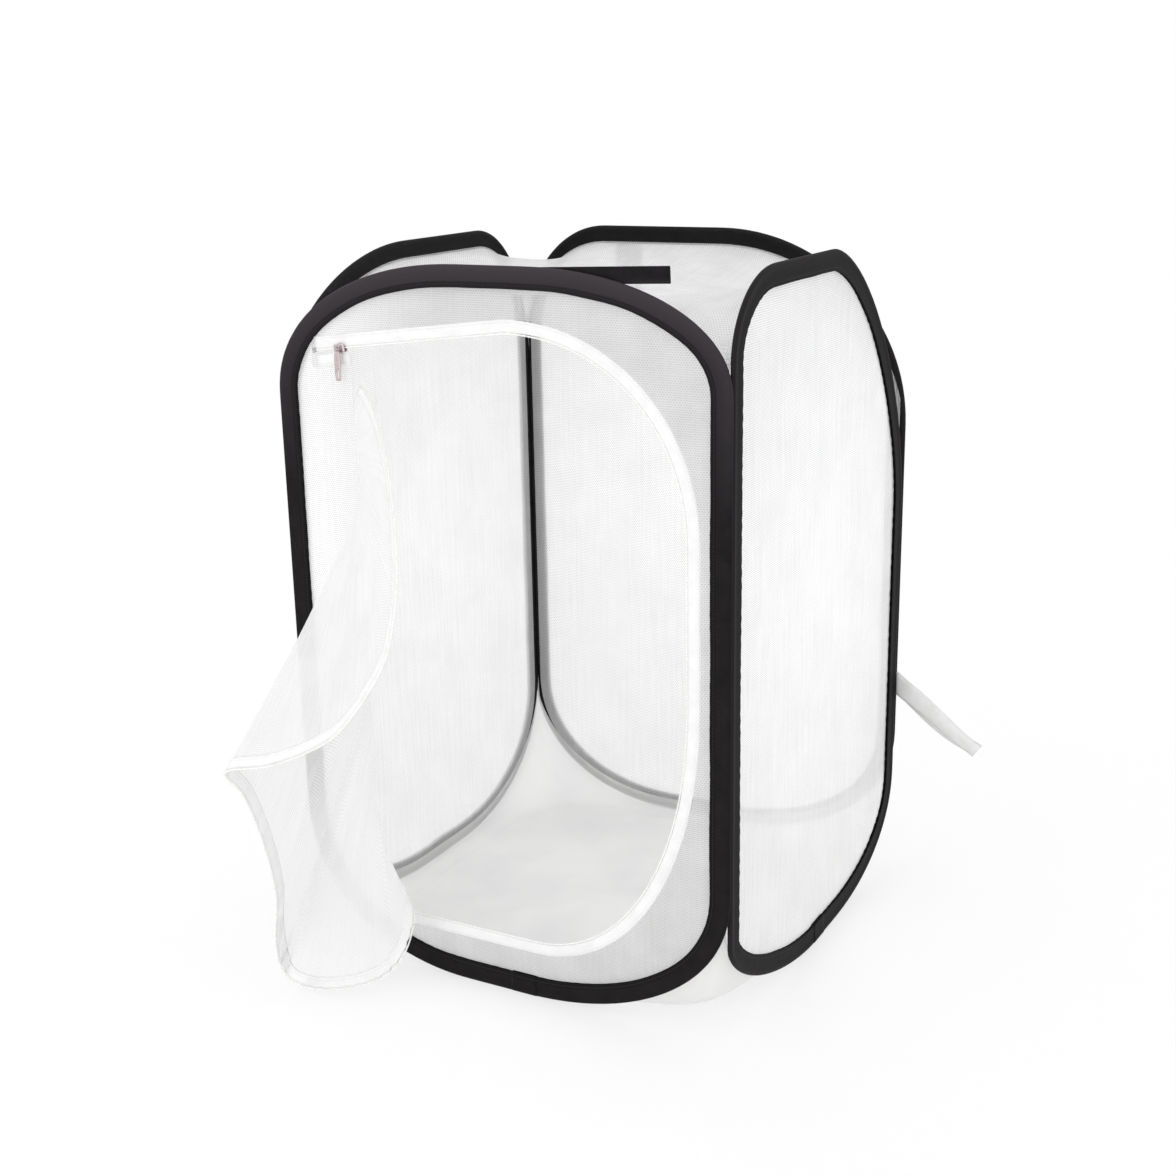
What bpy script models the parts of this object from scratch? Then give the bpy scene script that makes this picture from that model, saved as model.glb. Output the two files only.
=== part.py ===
"""Pop-up mesh insect cage: four spring-wire hoops bound in tape, a mesh on each, a top sheet, a floor sheet,
a zipped door that hangs open, two webbing straps and a tie ribbon. Metres, +Z up, the door on the -Y side.
The origin is the middle of the floor sheet's underside."""

import math

import bmesh
import bpy
import numpy as np
from mathutils import Matrix, Vector

# The cage, outside to outside
cage_width = 0.400
cage_depth = 0.400
cage_height = 0.600

# Fits shared by all pieces
fit_gap = 0.0003
edge_round = 0.0004
soft_gap = 0.0006

# Hoops: spring wire in a folded binding tape
wire_radius = 0.0006
wire_end_gap = 0.0008
ferrule_wall = 0.00035
ferrule_radius = 0.0011
ferrule_length = 0.016
tape_width = 0.0175
tape_wall = 0.0006
tape_fold_end = 0.0034
tape_taper_end = 0.0060
corner_power = 2.1
corner_steps = 9

# Mesh panels
mesh_thickness = 0.0008
mesh_inset = 0.0062

# Corner seams between neighbouring hoops
seam_radius = 0.0013
seam_sides = 10

# Top and floor sheets
sheet_thickness = 0.0008
top_sheet_drop = 0.0165
floor_sheet_rise = 0.0120
top_sheet_load = 1.0
floor_sheet_load = 60.0
sheet_cells = 18
sheet_rounds = 1500

# Door opening in the front panel, and the zip that follows it
door_hinge_x = -0.32 * cage_width
door_right = 0.41 * cage_width
door_bottom = cage_height / 12
door_top = cage_height - door_bottom
door_top_drop = 0.34 * door_bottom
door_top_left = door_top - door_top_drop
door_top_corner = (0.375 * cage_width, 0.25 * cage_height)
door_low_corner = (0.35 * cage_width, 0.38 * cage_height)
door_steps = 11
zip_slit = 0.0825 * cage_width
zip_slit_height = 0.0042
zip_tape_width = 0.0095
zip_tape_thickness = 0.0010
zip_coil_radius = 0.0008
zip_stop_length = 0.0030
zip_stop_width = 0.0040
zip_stop_thickness = 0.0026

# Zip slider and its pull
slider_x = -0.3425 * cage_width
slider_length = 0.0100
slider_width = 0.0076
slider_plate = 0.0009
slider_gap = 0.0004
slider_post = 0.0022
bail_wire = 0.0005
bail_span = 0.0052
bail_height = 0.0028
pull_ring_radius = 0.0016
pull_ring_wire = 0.0005
pull_width = 0.0056
pull_thickness = 0.0010
pull_length = 0.0240

# Open door flap: it hangs from its uncut side and its zipped edge falls forward
flap_thickness = 0.0008
flap_hinge_low_share = 0.024
flap_hinge_high_share = 0.924
flap_rows = 34
flap_columns = 10
flap_first_share = 0.035
flap_last_share = 0.985
flap_ripple = 0.0040
flap_ripple_waves = 5.0
flap_least_slant = 0.35

# Webbing straps with their hook and loop patches
strap_thickness = 0.0015
front_strap_width = 0.0125
front_strap_root_x = -0.075 * cage_width
front_strap_end_x = 0.375 * cage_width
front_strap_root_drop = 0.0095
front_strap_end_drop = 0.0030
front_strap_root_z = cage_height - front_strap_root_drop
front_strap_end_z = cage_height - front_strap_end_drop
patch_thickness = 0.0012
patch_length = 0.030
patch_margin = 0.0015
back_strap_width = 0.028
back_strap_length = 0.055
back_strap_x = -0.2075 * cage_width
back_strap_drop = 0.0065
back_strap_top = cage_height - back_strap_drop

# Tie ribbon, folded double, on the seam at the back right
ribbon_width = 0.022
ribbon_length = 0.098
ribbon_thickness = 0.0009
ribbon_spread = 0.0030
ribbon_height = 0.176
ribbon_steps = 6
ribbon_droop = math.radians(35)

# Corner sizes of each hoop as shares of its half width and half height, and how round each is (2 is an ellipse):
# right top, left top, left bottom, right bottom, seen with u to the right
front_corner_shares = ((0.84, 0.29, 2.1), (0.87, 0.36, 2.1), (0.80, 0.45, 2.1), (0.92, 0.42, 2.1))
right_corner_shares = ((0.98, 0.80, 1.65), (0.40, 0.22, 2.0), (0.94, 0.27, 1.6), (0.80, 0.30, 2.2))
back_corner_shares = ((0.92, 0.58, 2.0), (0.46, 0.38, 2.0), (0.80, 0.42, 2.1), (0.86, 0.42, 2.1))
left_corner_shares = ((0.46, 0.40, 2.0), (0.92, 0.40, 1.9), (0.86, 0.42, 2.1), (0.80, 0.42, 2.1))

# The flap's zipped edge from the top of the door round to its foot: how far it lies to the right of the hinge
# and out in front of the panel, as shares of the door's width, and its height as a share of the door's height
flap_edge_shares = (
    (0.000, 0.000, 0.926),
    (0.145, 0.130, 0.908),
    (0.280, 0.270, 0.870),
    (0.415, 0.425, 0.794),
    (0.500, 0.545, 0.702),
    (0.516, 0.615, 0.616),
    (0.472, 0.642, 0.554),
    (0.383, 0.650, 0.488),
    (0.280, 0.642, 0.446),
    (0.130, 0.622, 0.404),
    (-0.030, 0.598, 0.372),
    (-0.048, 0.512, 0.310),
    (-0.065, 0.428, 0.204),
    (-0.096, 0.360, 0.094),
    (-0.140, 0.325, 0.000),
    (-0.140, 0.298, -0.068),
    (-0.062, 0.284, -0.088),
    (0.048, 0.260, -0.080),
    (0.137, 0.212, -0.062),
    (0.182, 0.172, -0.032),
    (0.188, 0.120, 0.004),
    (0.150, 0.062, 0.030),
    (0.000, 0.006, 0.024),
)

# How far along the zipped edge a row of the flap ends, and how far up the uncut side it starts
flap_row_shares = (
    (0.00, 1.00),
    (0.08, 0.87),
    (0.54, 0.75),
    (0.85, 0.28),
    (1.00, 0.00),
)

# Worked out from the sizes above
half_width = cage_width / 2
half_depth = cage_depth / 2
half_height = cage_height / 2
fold_half = ferrule_radius + tape_wall + fit_gap
leg_half = mesh_thickness / 2 + fit_gap + tape_wall
front_plane = half_depth - fold_half
side_plane = half_width - fold_half
side_half = half_depth - 2 * fold_half - fit_gap
wire_inset = tape_wall + fit_gap + ferrule_radius
seam_offset = 2 * fold_half + fit_gap + seam_radius
sheet_offset = 2 * fold_half + fit_gap + sheet_thickness / 2
zip_inner = zip_coil_radius + fit_gap
zip_outer = zip_inner + zip_tape_width
door_width = door_right - door_hinge_x
door_height = door_top - door_bottom
flap_hinge_low = door_bottom + flap_hinge_low_share * door_height
flap_hinge_high = door_bottom + flap_hinge_high_share * door_height


def new_scene():
    for obj in list(bpy.data.objects):
        bpy.data.objects.remove(obj, do_unlink=True)
    for name in ("insect_cage", "cutters"):
        collection = bpy.data.collections.new(name)
        bpy.context.scene.collection.children.link(collection)
    bpy.data.collections["cutters"].hide_render = True


def material(name, colour, roughness, metallic=0.0):
    made = bpy.data.materials.new(name)
    made.use_nodes = True
    shader = made.node_tree.nodes["Principled BSDF"]
    shader.inputs["Base Color"].default_value = (*colour, 1.0)
    shader.inputs["Roughness"].default_value = roughness
    shader.inputs["Metallic"].default_value = metallic
    return made


def add_object(name, data, finish, place=None, pivot=None):
    """Links a sub-part. Its place is a world matrix, and a moving one hangs on its pivot empty."""
    obj = bpy.data.objects.new(name, data)
    bpy.data.collections["insect_cage"].objects.link(obj)
    obj.data.materials.append(finish)
    obj.matrix_world = place or Matrix.Identity(4)
    if pivot:
        obj.parent = pivot
        obj.location = obj.location - pivot.location
    return obj


def add_pivot(name, point):
    pivot = bpy.data.objects.new(name, None)
    pivot.location = point
    bpy.data.collections["insect_cage"].objects.link(pivot)
    return pivot


def curve_data(name, splines, cyclic=True, plane=True):
    """A curve of straight-run splines, in its own XY plane unless plane is off."""
    data = bpy.data.curves.new(name, "CURVE")
    data.dimensions = "2D" if plane else "3D"
    data.fill_mode = "NONE" if plane else "FULL"
    for points in splines:
        spline = data.splines.new("POLY")
        spline.points.add(len(points) - 1)
        for point, place in zip(spline.points, points):
            point.co = (*place, *[0.0] * (3 - len(place)), 1.0)
        spline.use_cyclic_u = cyclic
    return data


def sheet_curve(name, splines, thickness):
    data = curve_data(name, splines)
    data.fill_mode = "BOTH"
    data.extrude = thickness / 2
    return data


def tube_curve(name, points, radius, resolution=1, cyclic=False, plane=False):
    data = curve_data(name, [points], cyclic, plane)
    data.bevel_depth = radius
    data.bevel_resolution = resolution
    data.use_fill_caps = not cyclic
    return data


def mesh_from(name, bm):
    data = bpy.data.meshes.new(name)
    bmesh.ops.recalc_face_normals(bm, faces=bm.faces)
    bm.to_mesh(data)
    bm.free()
    return data


def box_into(bm, centre, size, bevel=0.0):
    made = bmesh.ops.create_cube(bm, size=1.0)
    bmesh.ops.scale(bm, vec=size, verts=made["verts"])
    bmesh.ops.translate(bm, vec=centre, verts=made["verts"])
    if bevel:
        edges = {edge for vert in made["verts"] for edge in vert.link_edges}
        bmesh.ops.bevel(bm, geom=list(edges), offset=bevel, segments=1, affect="EDGES")


def upright(turn=0.0):
    """Stands a flat outline up: its x runs along the panel and its y up."""
    return Matrix.Rotation(turn, 4, "Z") @ Matrix.Rotation(math.pi / 2, 4, "X")


def superellipse(reach_u, reach_v, angle, roundness):
    c, s = math.cos(angle), math.sin(angle)
    power = 2 / roundness
    return (
        reach_u * math.copysign(abs(c) ** power, c),
        reach_v * math.copysign(abs(s) ** power, s),
    )


def corner_place(half, shares, index):
    """Centre, reach and roundness of a hoop's corner, counted from the right top one round to the left."""
    reach_u, reach_v = shares[index][0] * half, shares[index][1] * half_height
    side = 1 if index in (0, 3) else -1
    up = 1 if index in (0, 1) else -1
    centre = (side * (half - reach_u), half_height + up * (half_height - reach_v))
    return centre, (reach_u, reach_v), shares[index][2]


def hoop_outline(half, shares, inset):
    points = []
    for index in range(4):
        centre, reach, roundness = corner_place(half, shares, index)
        for step in range(corner_steps + 1):
            angle = (index + step / corner_steps) * math.pi / 2
            du, dv = superellipse(reach[0] - inset, reach[1] - inset, angle, roundness)
            points.append((centre[0] + du, centre[1] + dv))
    return points


def hoop_edge_height(half, shares, u, top):
    """Height of a hoop's outer edge above or below a point of its width."""
    index = (0 if u > 0 else 1) if top else (3 if u > 0 else 2)
    centre, reach, roundness = corner_place(half, shares, index)
    over = max(0.0, abs(u) - abs(centre[0])) / reach[0]
    rise = reach[1] * max(0.0, 1 - over**roundness) ** (1 / roundness)
    return centre[1] + rise if top else centre[1] - rise


def tape_profile():
    """Section of the folded tape: how far in from the hoop's edge, and how far from its middle plane."""
    upper = (
        (0.0, fold_half),
        (tape_fold_end, fold_half),
        (tape_taper_end, leg_half),
        (tape_width, leg_half),
        (tape_width, leg_half - tape_wall),
        (tape_taper_end, leg_half - tape_wall),
        (tape_fold_end, fold_half - tape_wall),
        (tape_wall, fold_half - tape_wall),
    )
    return [*upper, *[(s, -n) for s, n in reversed(upper)]]


def hoop_side(side, half, shares, place, pivot, finishes, hole=None):
    """One side of the cage: spring wire, ferrule, binding tape and mesh panel."""
    start = 3 * (corner_steps + 1)
    round_it = hoop_outline(half, shares, wire_inset)
    ends = [(wire_end_gap / 2, wire_inset)], [(-wire_end_gap / 2, wire_inset)]
    path = ends[0] + round_it[start:] + round_it[:start] + ends[1]
    wire = tube_curve(f"{side}_wire", path, wire_radius, plane=True)
    add_object(f"{side}_wire", wire, finishes["steel"], place, pivot)

    bm = bmesh.new()
    bmesh.ops.create_cone(
        bm, cap_ends=False, segments=8, radius1=ferrule_radius, radius2=ferrule_radius, depth=ferrule_length
    )
    lie = Matrix.Translation((0, wire_inset, 0)) @ Matrix.Rotation(math.pi / 2, 4, "Y")
    bmesh.ops.transform(bm, matrix=lie, verts=bm.verts)
    ferrule = add_object(f"{side}_wire_ferrule", mesh_from("ferrule", bm), finishes["steel"], place, pivot)
    wall = ferrule.modifiers.new("wall", "SOLIDIFY")
    wall.thickness = ferrule_wall
    wall.offset = -1
    wall.use_even_offset = True

    profile = bpy.data.objects.new(f"{side}_tape_profile", curve_data("profile", [tape_profile()]))
    profile.hide_render = True
    profile.display_type = "WIRE"
    bpy.data.collections["cutters"].objects.link(profile)
    tape = curve_data(f"{side}_tape", [hoop_outline(half, shares, 0.0)])
    tape.fill_mode = "NONE"
    tape.bevel_mode = "OBJECT"
    tape.bevel_object = profile
    add_object(f"{side}_binding_tape", tape, finishes["tape"], place, pivot)

    outlines = [hoop_outline(half, shares, mesh_inset)]
    if hole:
        outlines.append(hole)
    panel = sheet_curve(f"{side}_mesh_panel", outlines, mesh_thickness)
    add_object(f"{side}_mesh_panel", panel, finishes["mesh"], place, pivot)


def corner_seam(name, x, y, shares, pivot, finish):
    """The sewn edge where two hoops run straight side by side. Shares holds their corners here, top and bottom."""
    low = max(bottom for _, bottom in shares) * half_height + floor_sheet_rise
    high = cage_height - max(top for top, _ in shares) * half_height - top_sheet_drop
    bm = bmesh.new()
    bmesh.ops.create_cone(
        bm, cap_ends=True, segments=seam_sides, radius1=seam_radius, radius2=seam_radius, depth=high - low
    )
    place = Matrix.Translation((x, y, (low + high) / 2))
    add_object(name, mesh_from(name, bm), finish, place, pivot)


def straight_shares(shares, right):
    """How much of a hoop's half height its corners take on one side, at the top and at the bottom."""
    return (shares[0][1], shares[3][1]) if right else (shares[1][1], shares[2][1])


def edge_heights(x, y, top):
    """Heights of the four hoop edges over a grid's sides, in the order front, back, left, right."""
    drop = -top_sheet_drop if top else floor_sheet_rise
    return (
        [hoop_edge_height(half_width, front_corner_shares, u, top) + drop for u in x],
        [hoop_edge_height(half_width, back_corner_shares, u, top) + drop for u in x],
        [hoop_edge_height(side_half, left_corner_shares, u, top) + drop for u in y],
        [hoop_edge_height(side_half, right_corner_shares, u, top) + drop for u in y],
    )


def stretched_sheet(name, top, load, finish):
    """A sheet held along the four hoops. Its height settles to a membrane under its own load, over the ground."""
    turns = [math.sin(math.pi * (i / sheet_cells - 0.5)) for i in range(sheet_cells + 1)]
    x = [(half_width - sheet_offset) * turn for turn in turns]
    y = [(half_depth - sheet_offset) * turn for turn in turns]
    front, back, left, right = edge_heights(x, y, top)
    height = np.full((len(x), len(y)), cage_height - top_sheet_drop if top else sheet_thickness / 2)
    height[:, 0], height[:, -1] = front, back
    height[0, :], height[-1, :] = left, right
    pick = min if top else max
    height[0, 0], height[-1, 0] = pick(front[0], left[0]), pick(front[-1], right[0])
    height[0, -1], height[-1, -1] = pick(back[0], left[-1]), pick(back[-1], right[-1])
    near_x, near_y = np.diff(x), np.diff(y)
    a, b = near_x[:-1, None], near_x[1:, None]
    c, d = near_y[None, :-1], near_y[None, 1:]
    weight = 1 / (a * b) + 1 / (c * d)
    for _ in range(sheet_rounds):
        along = (height[:-2, 1:-1] / a + height[2:, 1:-1] / b) / (a + b)
        across = (height[1:-1, :-2] / c + height[1:-1, 2:] / d) / (c + d)
        settled = (along + across - load / 2) / weight
        height[1:-1, 1:-1] = np.maximum(settled, sheet_thickness / 2)
    bm = bmesh.new()
    bmesh.ops.create_grid(bm, x_segments=sheet_cells, y_segments=sheet_cells, size=1.0)
    for vert in bm.verts:
        i = round((vert.co.x + 1) / 2 * sheet_cells)
        j = round((vert.co.y + 1) / 2 * sheet_cells)
        vert.co = (x[i], y[j], height[i, j])
    sheet = add_object(name, mesh_from(name, bm), finish)
    wall = sheet.modifiers.new("wall", "SOLIDIFY")
    wall.thickness = sheet_thickness
    wall.offset = 0
    wall.use_even_offset = True


def door_path():
    """The zip's line in the front panel, from the end of its slit at the top left round to its foot."""
    (top_u, top_v), (low_u, low_v) = door_top_corner, door_low_corner
    top_start = door_right - top_u
    slope = (door_top - door_top_left) / (top_start - door_hinge_x)
    path = [(door_hinge_x - zip_slit, door_top_left - slope * zip_slit)]
    for step in range(door_steps + 1):
        du, dv = superellipse(top_u, top_v, (1 - step / door_steps) * math.pi / 2, corner_power)
        path.append((top_start + du, door_top - top_v + dv))
    for step in range(door_steps + 1):
        du, dv = superellipse(low_u, low_v, -step / door_steps * math.pi / 2, corner_power)
        path.append((door_right - low_u + du, door_bottom + low_v + dv))
    path.append((door_hinge_x + zip_stop_length + 2 * fit_gap, door_bottom))
    return path, math.atan(slope)


def offset_path(path, distance):
    """The path moved to its left, which is outwards on the door's path."""
    moved = []
    for index, (u, v) in enumerate(path):
        before, after = path[max(index - 1, 0)], path[min(index + 1, len(path) - 1)]
        ways = [np.subtract((u, v), before), np.subtract(after, (u, v))]
        ways = [way / np.linalg.norm(way) for way in ways if np.linalg.norm(way) > 0]
        way = sum(ways) / np.linalg.norm(sum(ways))
        share = distance / max(float(way @ ways[0]), 0.5)
        moved.append((u - way[1] * share, v + way[0] * share))
    return moved


def panel_hole(path, slope):
    """The hole in the front mesh: the opening, the zip's tape and the slit that stays zipped."""
    outer = offset_path(path, zip_outer + fit_gap)
    slit_end = zip_stop_length + 3 * fit_gap
    start_u = outer[0][0] - slit_end
    rise = math.tan(slope)
    top_v = outer[0][1] - rise * slit_end
    low_v = path[0][1] - rise * slit_end - zip_slit_height
    low_v -= zip_tape_width + fit_gap
    hinge_v = door_top_left - zip_slit_height - zip_tape_width - fit_gap
    foot = (door_hinge_x, outer[-1][1])
    return [(start_u, top_v), *outer, foot, (door_hinge_x, hinge_v), (start_u, low_v)]


def front_zip(path, slope, place, finishes):
    outer, inner = offset_path(path, zip_outer), offset_path(path, zip_inner)
    tape = sheet_curve("front_zip_tape", [outer + inner[::-1]], zip_tape_thickness)
    add_object("front_zip_tape", tape, finishes["zip"], place)
    slit_top = [
        (u, door_top_left - zip_slit_height + (u - door_hinge_x) * math.tan(slope))
        for u in (door_hinge_x - zip_slit, door_hinge_x)
    ]
    slit_low = [(u, v - zip_tape_width) for u, v in reversed(slit_top)]
    slit = sheet_curve("zip_slit_tape", [slit_top + slit_low], zip_tape_thickness)
    add_object("zip_slit_tape", slit, finishes["zip"], place)
    coil = tube_curve("front_zip_coil", path, zip_coil_radius, resolution=0, plane=True)
    add_object("front_zip_coil", coil, finishes["coil"], place)
    size = (zip_stop_length, zip_stop_width, zip_stop_thickness)
    reach = zip_stop_length / 2 + fit_gap
    ends = (
        ("zip_top_stop", path[0], -reach, slope),
        ("zip_bottom_stop", path[-1], -reach, 0.0),
    )
    for name, (u, v), along, turn in ends:
        bm = bmesh.new()
        box_into(bm, (0, 0, 0), size, edge_round)
        lie = Matrix.Translation((u + along * math.cos(turn), v + along * math.sin(turn), 0))
        data = mesh_from(name, bm)
        add_object(name, data, finishes["steel"], place @ lie @ Matrix.Rotation(turn, 4, "Z"))


def slider_and_pull(slope, place, slider_pivot, pull_pivot, finishes):
    """The slider rides on the coil, and its bail carries the ring of the pull."""
    plate_in = zip_coil_radius + slider_gap
    plate_out = plate_in + slider_plate
    spot_v = door_top_left + (slider_x - door_hinge_x) * math.tan(slope)
    lie = place @ Matrix.Translation((slider_x, spot_v, 0)) @ Matrix.Rotation(slope, 4, "Z")
    bm = bmesh.new()
    for side in (1, -1):
        middle = side * (plate_in + plate_out) / 2
        box_into(bm, (0, 0, middle), (slider_length, slider_width, slider_plate), edge_round)
    body = add_object("zip_slider", mesh_from("zip_slider", bm), finishes["nickel"], lie, slider_pivot)
    join(body, slider_post_mesh(plate_in, plate_out), lie)
    join(body, bail_mesh(plate_out), lie)

    bm = bmesh.new()
    ring_drop = pull_ring_radius - pull_ring_wire - bail_wire - fit_gap
    tab_top = -pull_ring_radius
    box_into(bm, (0, tab_top - pull_length / 2, 0), (pull_width, pull_length, pull_thickness), edge_round)
    bail_out = plate_out + bail_height
    spot = lie @ Matrix.Translation((0, 0, bail_out)) @ Matrix.Rotation(-slope, 4, "Z")
    spot = spot @ Matrix.Translation((0, -ring_drop, 0))
    pull = add_object("zip_pull", mesh_from("zip_pull", bm), finishes["nickel"], spot, pull_pivot)
    join(pull, ring_mesh(), spot)


def slider_post_mesh(plate_in, plate_out):
    bm = bmesh.new()
    low = -slider_width / 2 + edge_round
    size = (slider_length / 2, slider_post, plate_in + plate_out)
    box_into(bm, (0, low + slider_post / 2, 0), size)
    return mesh_from("slider_post", bm)


def bail_mesh(plate_out):
    """A square staple whose feet sink into the front plate."""
    bm = bmesh.new()
    foot = slider_plate / 2
    side = 2 * bail_wire
    for way in (1, -1):
        box_into(bm, (way * bail_span / 2, 0, plate_out + (bail_height - foot) / 2), (side, side, bail_height + foot))
    data = mesh_from("bail", bm)
    bm = bmesh.new()
    bm.from_mesh(data)
    box_into(bm, (0, 0, plate_out + bail_height), (bail_span + side, side, side))
    return mesh_from("bail", bm)


def ring_mesh():
    """The pull's ring, in the plane across the bail's bar."""
    points = []
    for step in range(10):
        angle = step / 10 * 2 * math.pi
        points.append((pull_ring_radius * math.cos(angle), pull_ring_radius * math.sin(angle)))
    ring = bpy.data.objects.new("ring", tube_curve("ring", points, pull_ring_wire, cyclic=True, plane=True))
    bpy.context.scene.collection.objects.link(ring)
    bpy.context.view_layer.update()
    data = bpy.data.meshes.new_from_object(ring.evaluated_get(bpy.context.evaluated_depsgraph_get()))
    data.transform(Matrix.Rotation(math.pi / 2, 4, "Y"))
    bpy.data.objects.remove(ring)
    return data


def join(obj, data, place):
    """Joins a second shape to an object with a Boolean union."""
    cutter = bpy.data.objects.new(f"{obj.name}_{data.name}", data)
    bpy.data.collections["cutters"].objects.link(cutter)
    cutter.matrix_world = place
    cutter.hide_render = True
    cutter.display_type = "WIRE"
    union = obj.modifiers.new(data.name, "BOOLEAN")
    union.operation = "UNION"
    union.use_self = True
    union.object = cutter


def smooth_path(points, steps):
    """Points of the Catmull-Rom curve through the given points, with their lengths from its start."""
    points = [Vector(point) for point in points]
    padded = [2 * points[0] - points[1], *points, 2 * points[-1] - points[-2]]
    made = []
    for index in range(len(points) - 1):
        p0, p1, p2, p3 = padded[index : index + 4]
        for step in range(steps):
            t = step / steps
            made.append(
                0.5
                * (2 * p1 + (p2 - p0) * t + (2 * p0 - 5 * p1 + 4 * p2 - p3) * t**2 + (3 * p1 - p0 - 3 * p2 + p3) * t**3)
            )
    made.append(points[-1])
    lengths = [0.0]
    for before, after in zip(made, made[1:]):
        lengths.append(lengths[-1] + (after - before).length)
    return made, lengths


def flap_rows_of():
    """Rows down the flap: a point on the uncut side, one on the zipped edge, and how squarely they meet it."""
    edge = [
        (door_hinge_x + out_x * door_width, -front_plane - out_y * door_width, door_bottom + up * door_height)
        for out_x, out_y, up in flap_edge_shares
    ]
    made, lengths = smooth_path(edge, 8)
    rows = []
    for index in range(flap_rows + 1):
        share = flap_first_share + (flap_last_share - flap_first_share) * index / flap_rows
        spot = np.interp(share * lengths[-1], lengths, range(len(made)))
        low = min(int(spot), len(made) - 2)
        zipped = made[low].lerp(made[low + 1], spot - low)
        up = np.interp(share, *zip(*flap_row_shares))
        z = flap_hinge_low + (flap_hinge_high - flap_hinge_low) * up
        hinge = Vector((door_hinge_x + fit_gap + flap_thickness / 2, -front_plane, z))
        way, run = (zipped - hinge).normalized(), (made[low + 1] - made[low]).normalized()
        rows.append((share, hinge, zipped, max(way.cross(run).length, flap_least_slant)))
    return rows


def flap_point(share, hinge, zipped, along):
    """A point of the cloth between the uncut side and the zipped edge, with the folds that its slack makes."""
    point = hinge.lerp(zipped, along)
    way = zipped - hinge
    across = way.cross(Vector((0, 0, 1)))
    if across.length > 0:
        across.normalize()
    wave = math.sin(flap_ripple_waves * 2 * math.pi * share)
    size = flap_ripple * min(1.0, way.length / (door_width / 2))
    return point + across * size * wave * math.sin(math.pi * along) ** 2


def cloth_between(name, rows, start, end, columns, thickness, finish, pivot):
    """A strip of the flap, from one distance in from its zipped edge (none for all of it) out to another."""
    bm = bmesh.new()
    grid = []
    for share, hinge, zipped, slant in rows:
        length = (zipped - hinge).length
        low = max(0.0, 1 - start / slant / length) if start else 0.0
        high = 1 - end / slant / length
        grid.append(
            [
                bm.verts.new(flap_point(share, hinge, zipped, low + (high - low) * step / columns) - pivot.location)
                for step in range(columns + 1)
            ]
        )
    for upper, lower in zip(grid, grid[1:]):
        for left, right, low_left, low_right in zip(upper, upper[1:], lower, lower[1:]):
            bm.faces.new((left, low_left, low_right, right))
    obj = add_object(name, mesh_from(name, bm), finish, Matrix.Translation(pivot.location), pivot)
    wall = obj.modifiers.new("wall", "SOLIDIFY")
    wall.thickness = thickness
    wall.offset = 0


def door_flap(pivot, finishes):
    rows = flap_rows_of()
    cloth = (rows, None, zip_outer + soft_gap, flap_columns, flap_thickness)
    cloth_between("door_flap", *cloth, finishes["mesh"], pivot)
    tape = (rows, zip_outer, zip_coil_radius + soft_gap, 2, zip_tape_thickness)
    cloth_between("door_zip_tape", *tape, finishes["zip"], pivot)
    points = [row[2] - pivot.location for row in rows]
    coil = tube_curve("door_zip_coil", points, zip_coil_radius, resolution=0)
    add_object("door_zip_coil", coil, finishes["coil"], Matrix.Translation(pivot.location), pivot)


def front_strap(pivot, finishes):
    """Webbing on edge behind the front hoop, sewn at its left end and free at its right."""
    run = front_strap_end_x - front_strap_root_x
    rise = front_strap_end_z - front_strap_root_z
    length = math.hypot(run, rise)
    turn = math.atan2(rise, run)
    lie = Matrix.Translation(pivot.location) @ Matrix.Rotation(-turn, 4, "Y")
    bm = bmesh.new()
    middle = (length / 2, strap_thickness / 2, 0)
    box_into(bm, middle, (length, strap_thickness, front_strap_width), edge_round)
    add_object("front_strap", mesh_from("front_strap", bm), finishes["webbing"], lie, pivot)
    bm = bmesh.new()
    spot = (length - patch_margin - patch_length / 2, strap_thickness + fit_gap + patch_thickness / 2, 0)
    box_into(bm, spot, (patch_length, patch_thickness, front_strap_width - 2 * patch_margin))
    add_object("front_strap_patch", mesh_from("front_strap_patch", bm), finishes["patch"], lie, pivot)


def back_strap(pivot, finishes):
    """Webbing tab that hangs down the outside of the back hoop."""
    lie = Matrix.Translation(pivot.location)
    bm = bmesh.new()
    middle = (0, -strap_thickness / 2, -back_strap_length / 2)
    box_into(bm, middle, (back_strap_width, strap_thickness, back_strap_length), edge_round)
    add_object("back_strap", mesh_from("back_strap", bm), finishes["webbing"], lie, pivot)
    bm = bmesh.new()
    spot = (0, fit_gap + patch_thickness / 2, patch_margin - back_strap_length + patch_length / 2)
    box_into(bm, spot, (back_strap_width - 2 * patch_margin, patch_thickness, patch_length))
    add_object("back_strap_patch", mesh_from("back_strap_patch", bm), finishes["patch"], lie, pivot)


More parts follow.
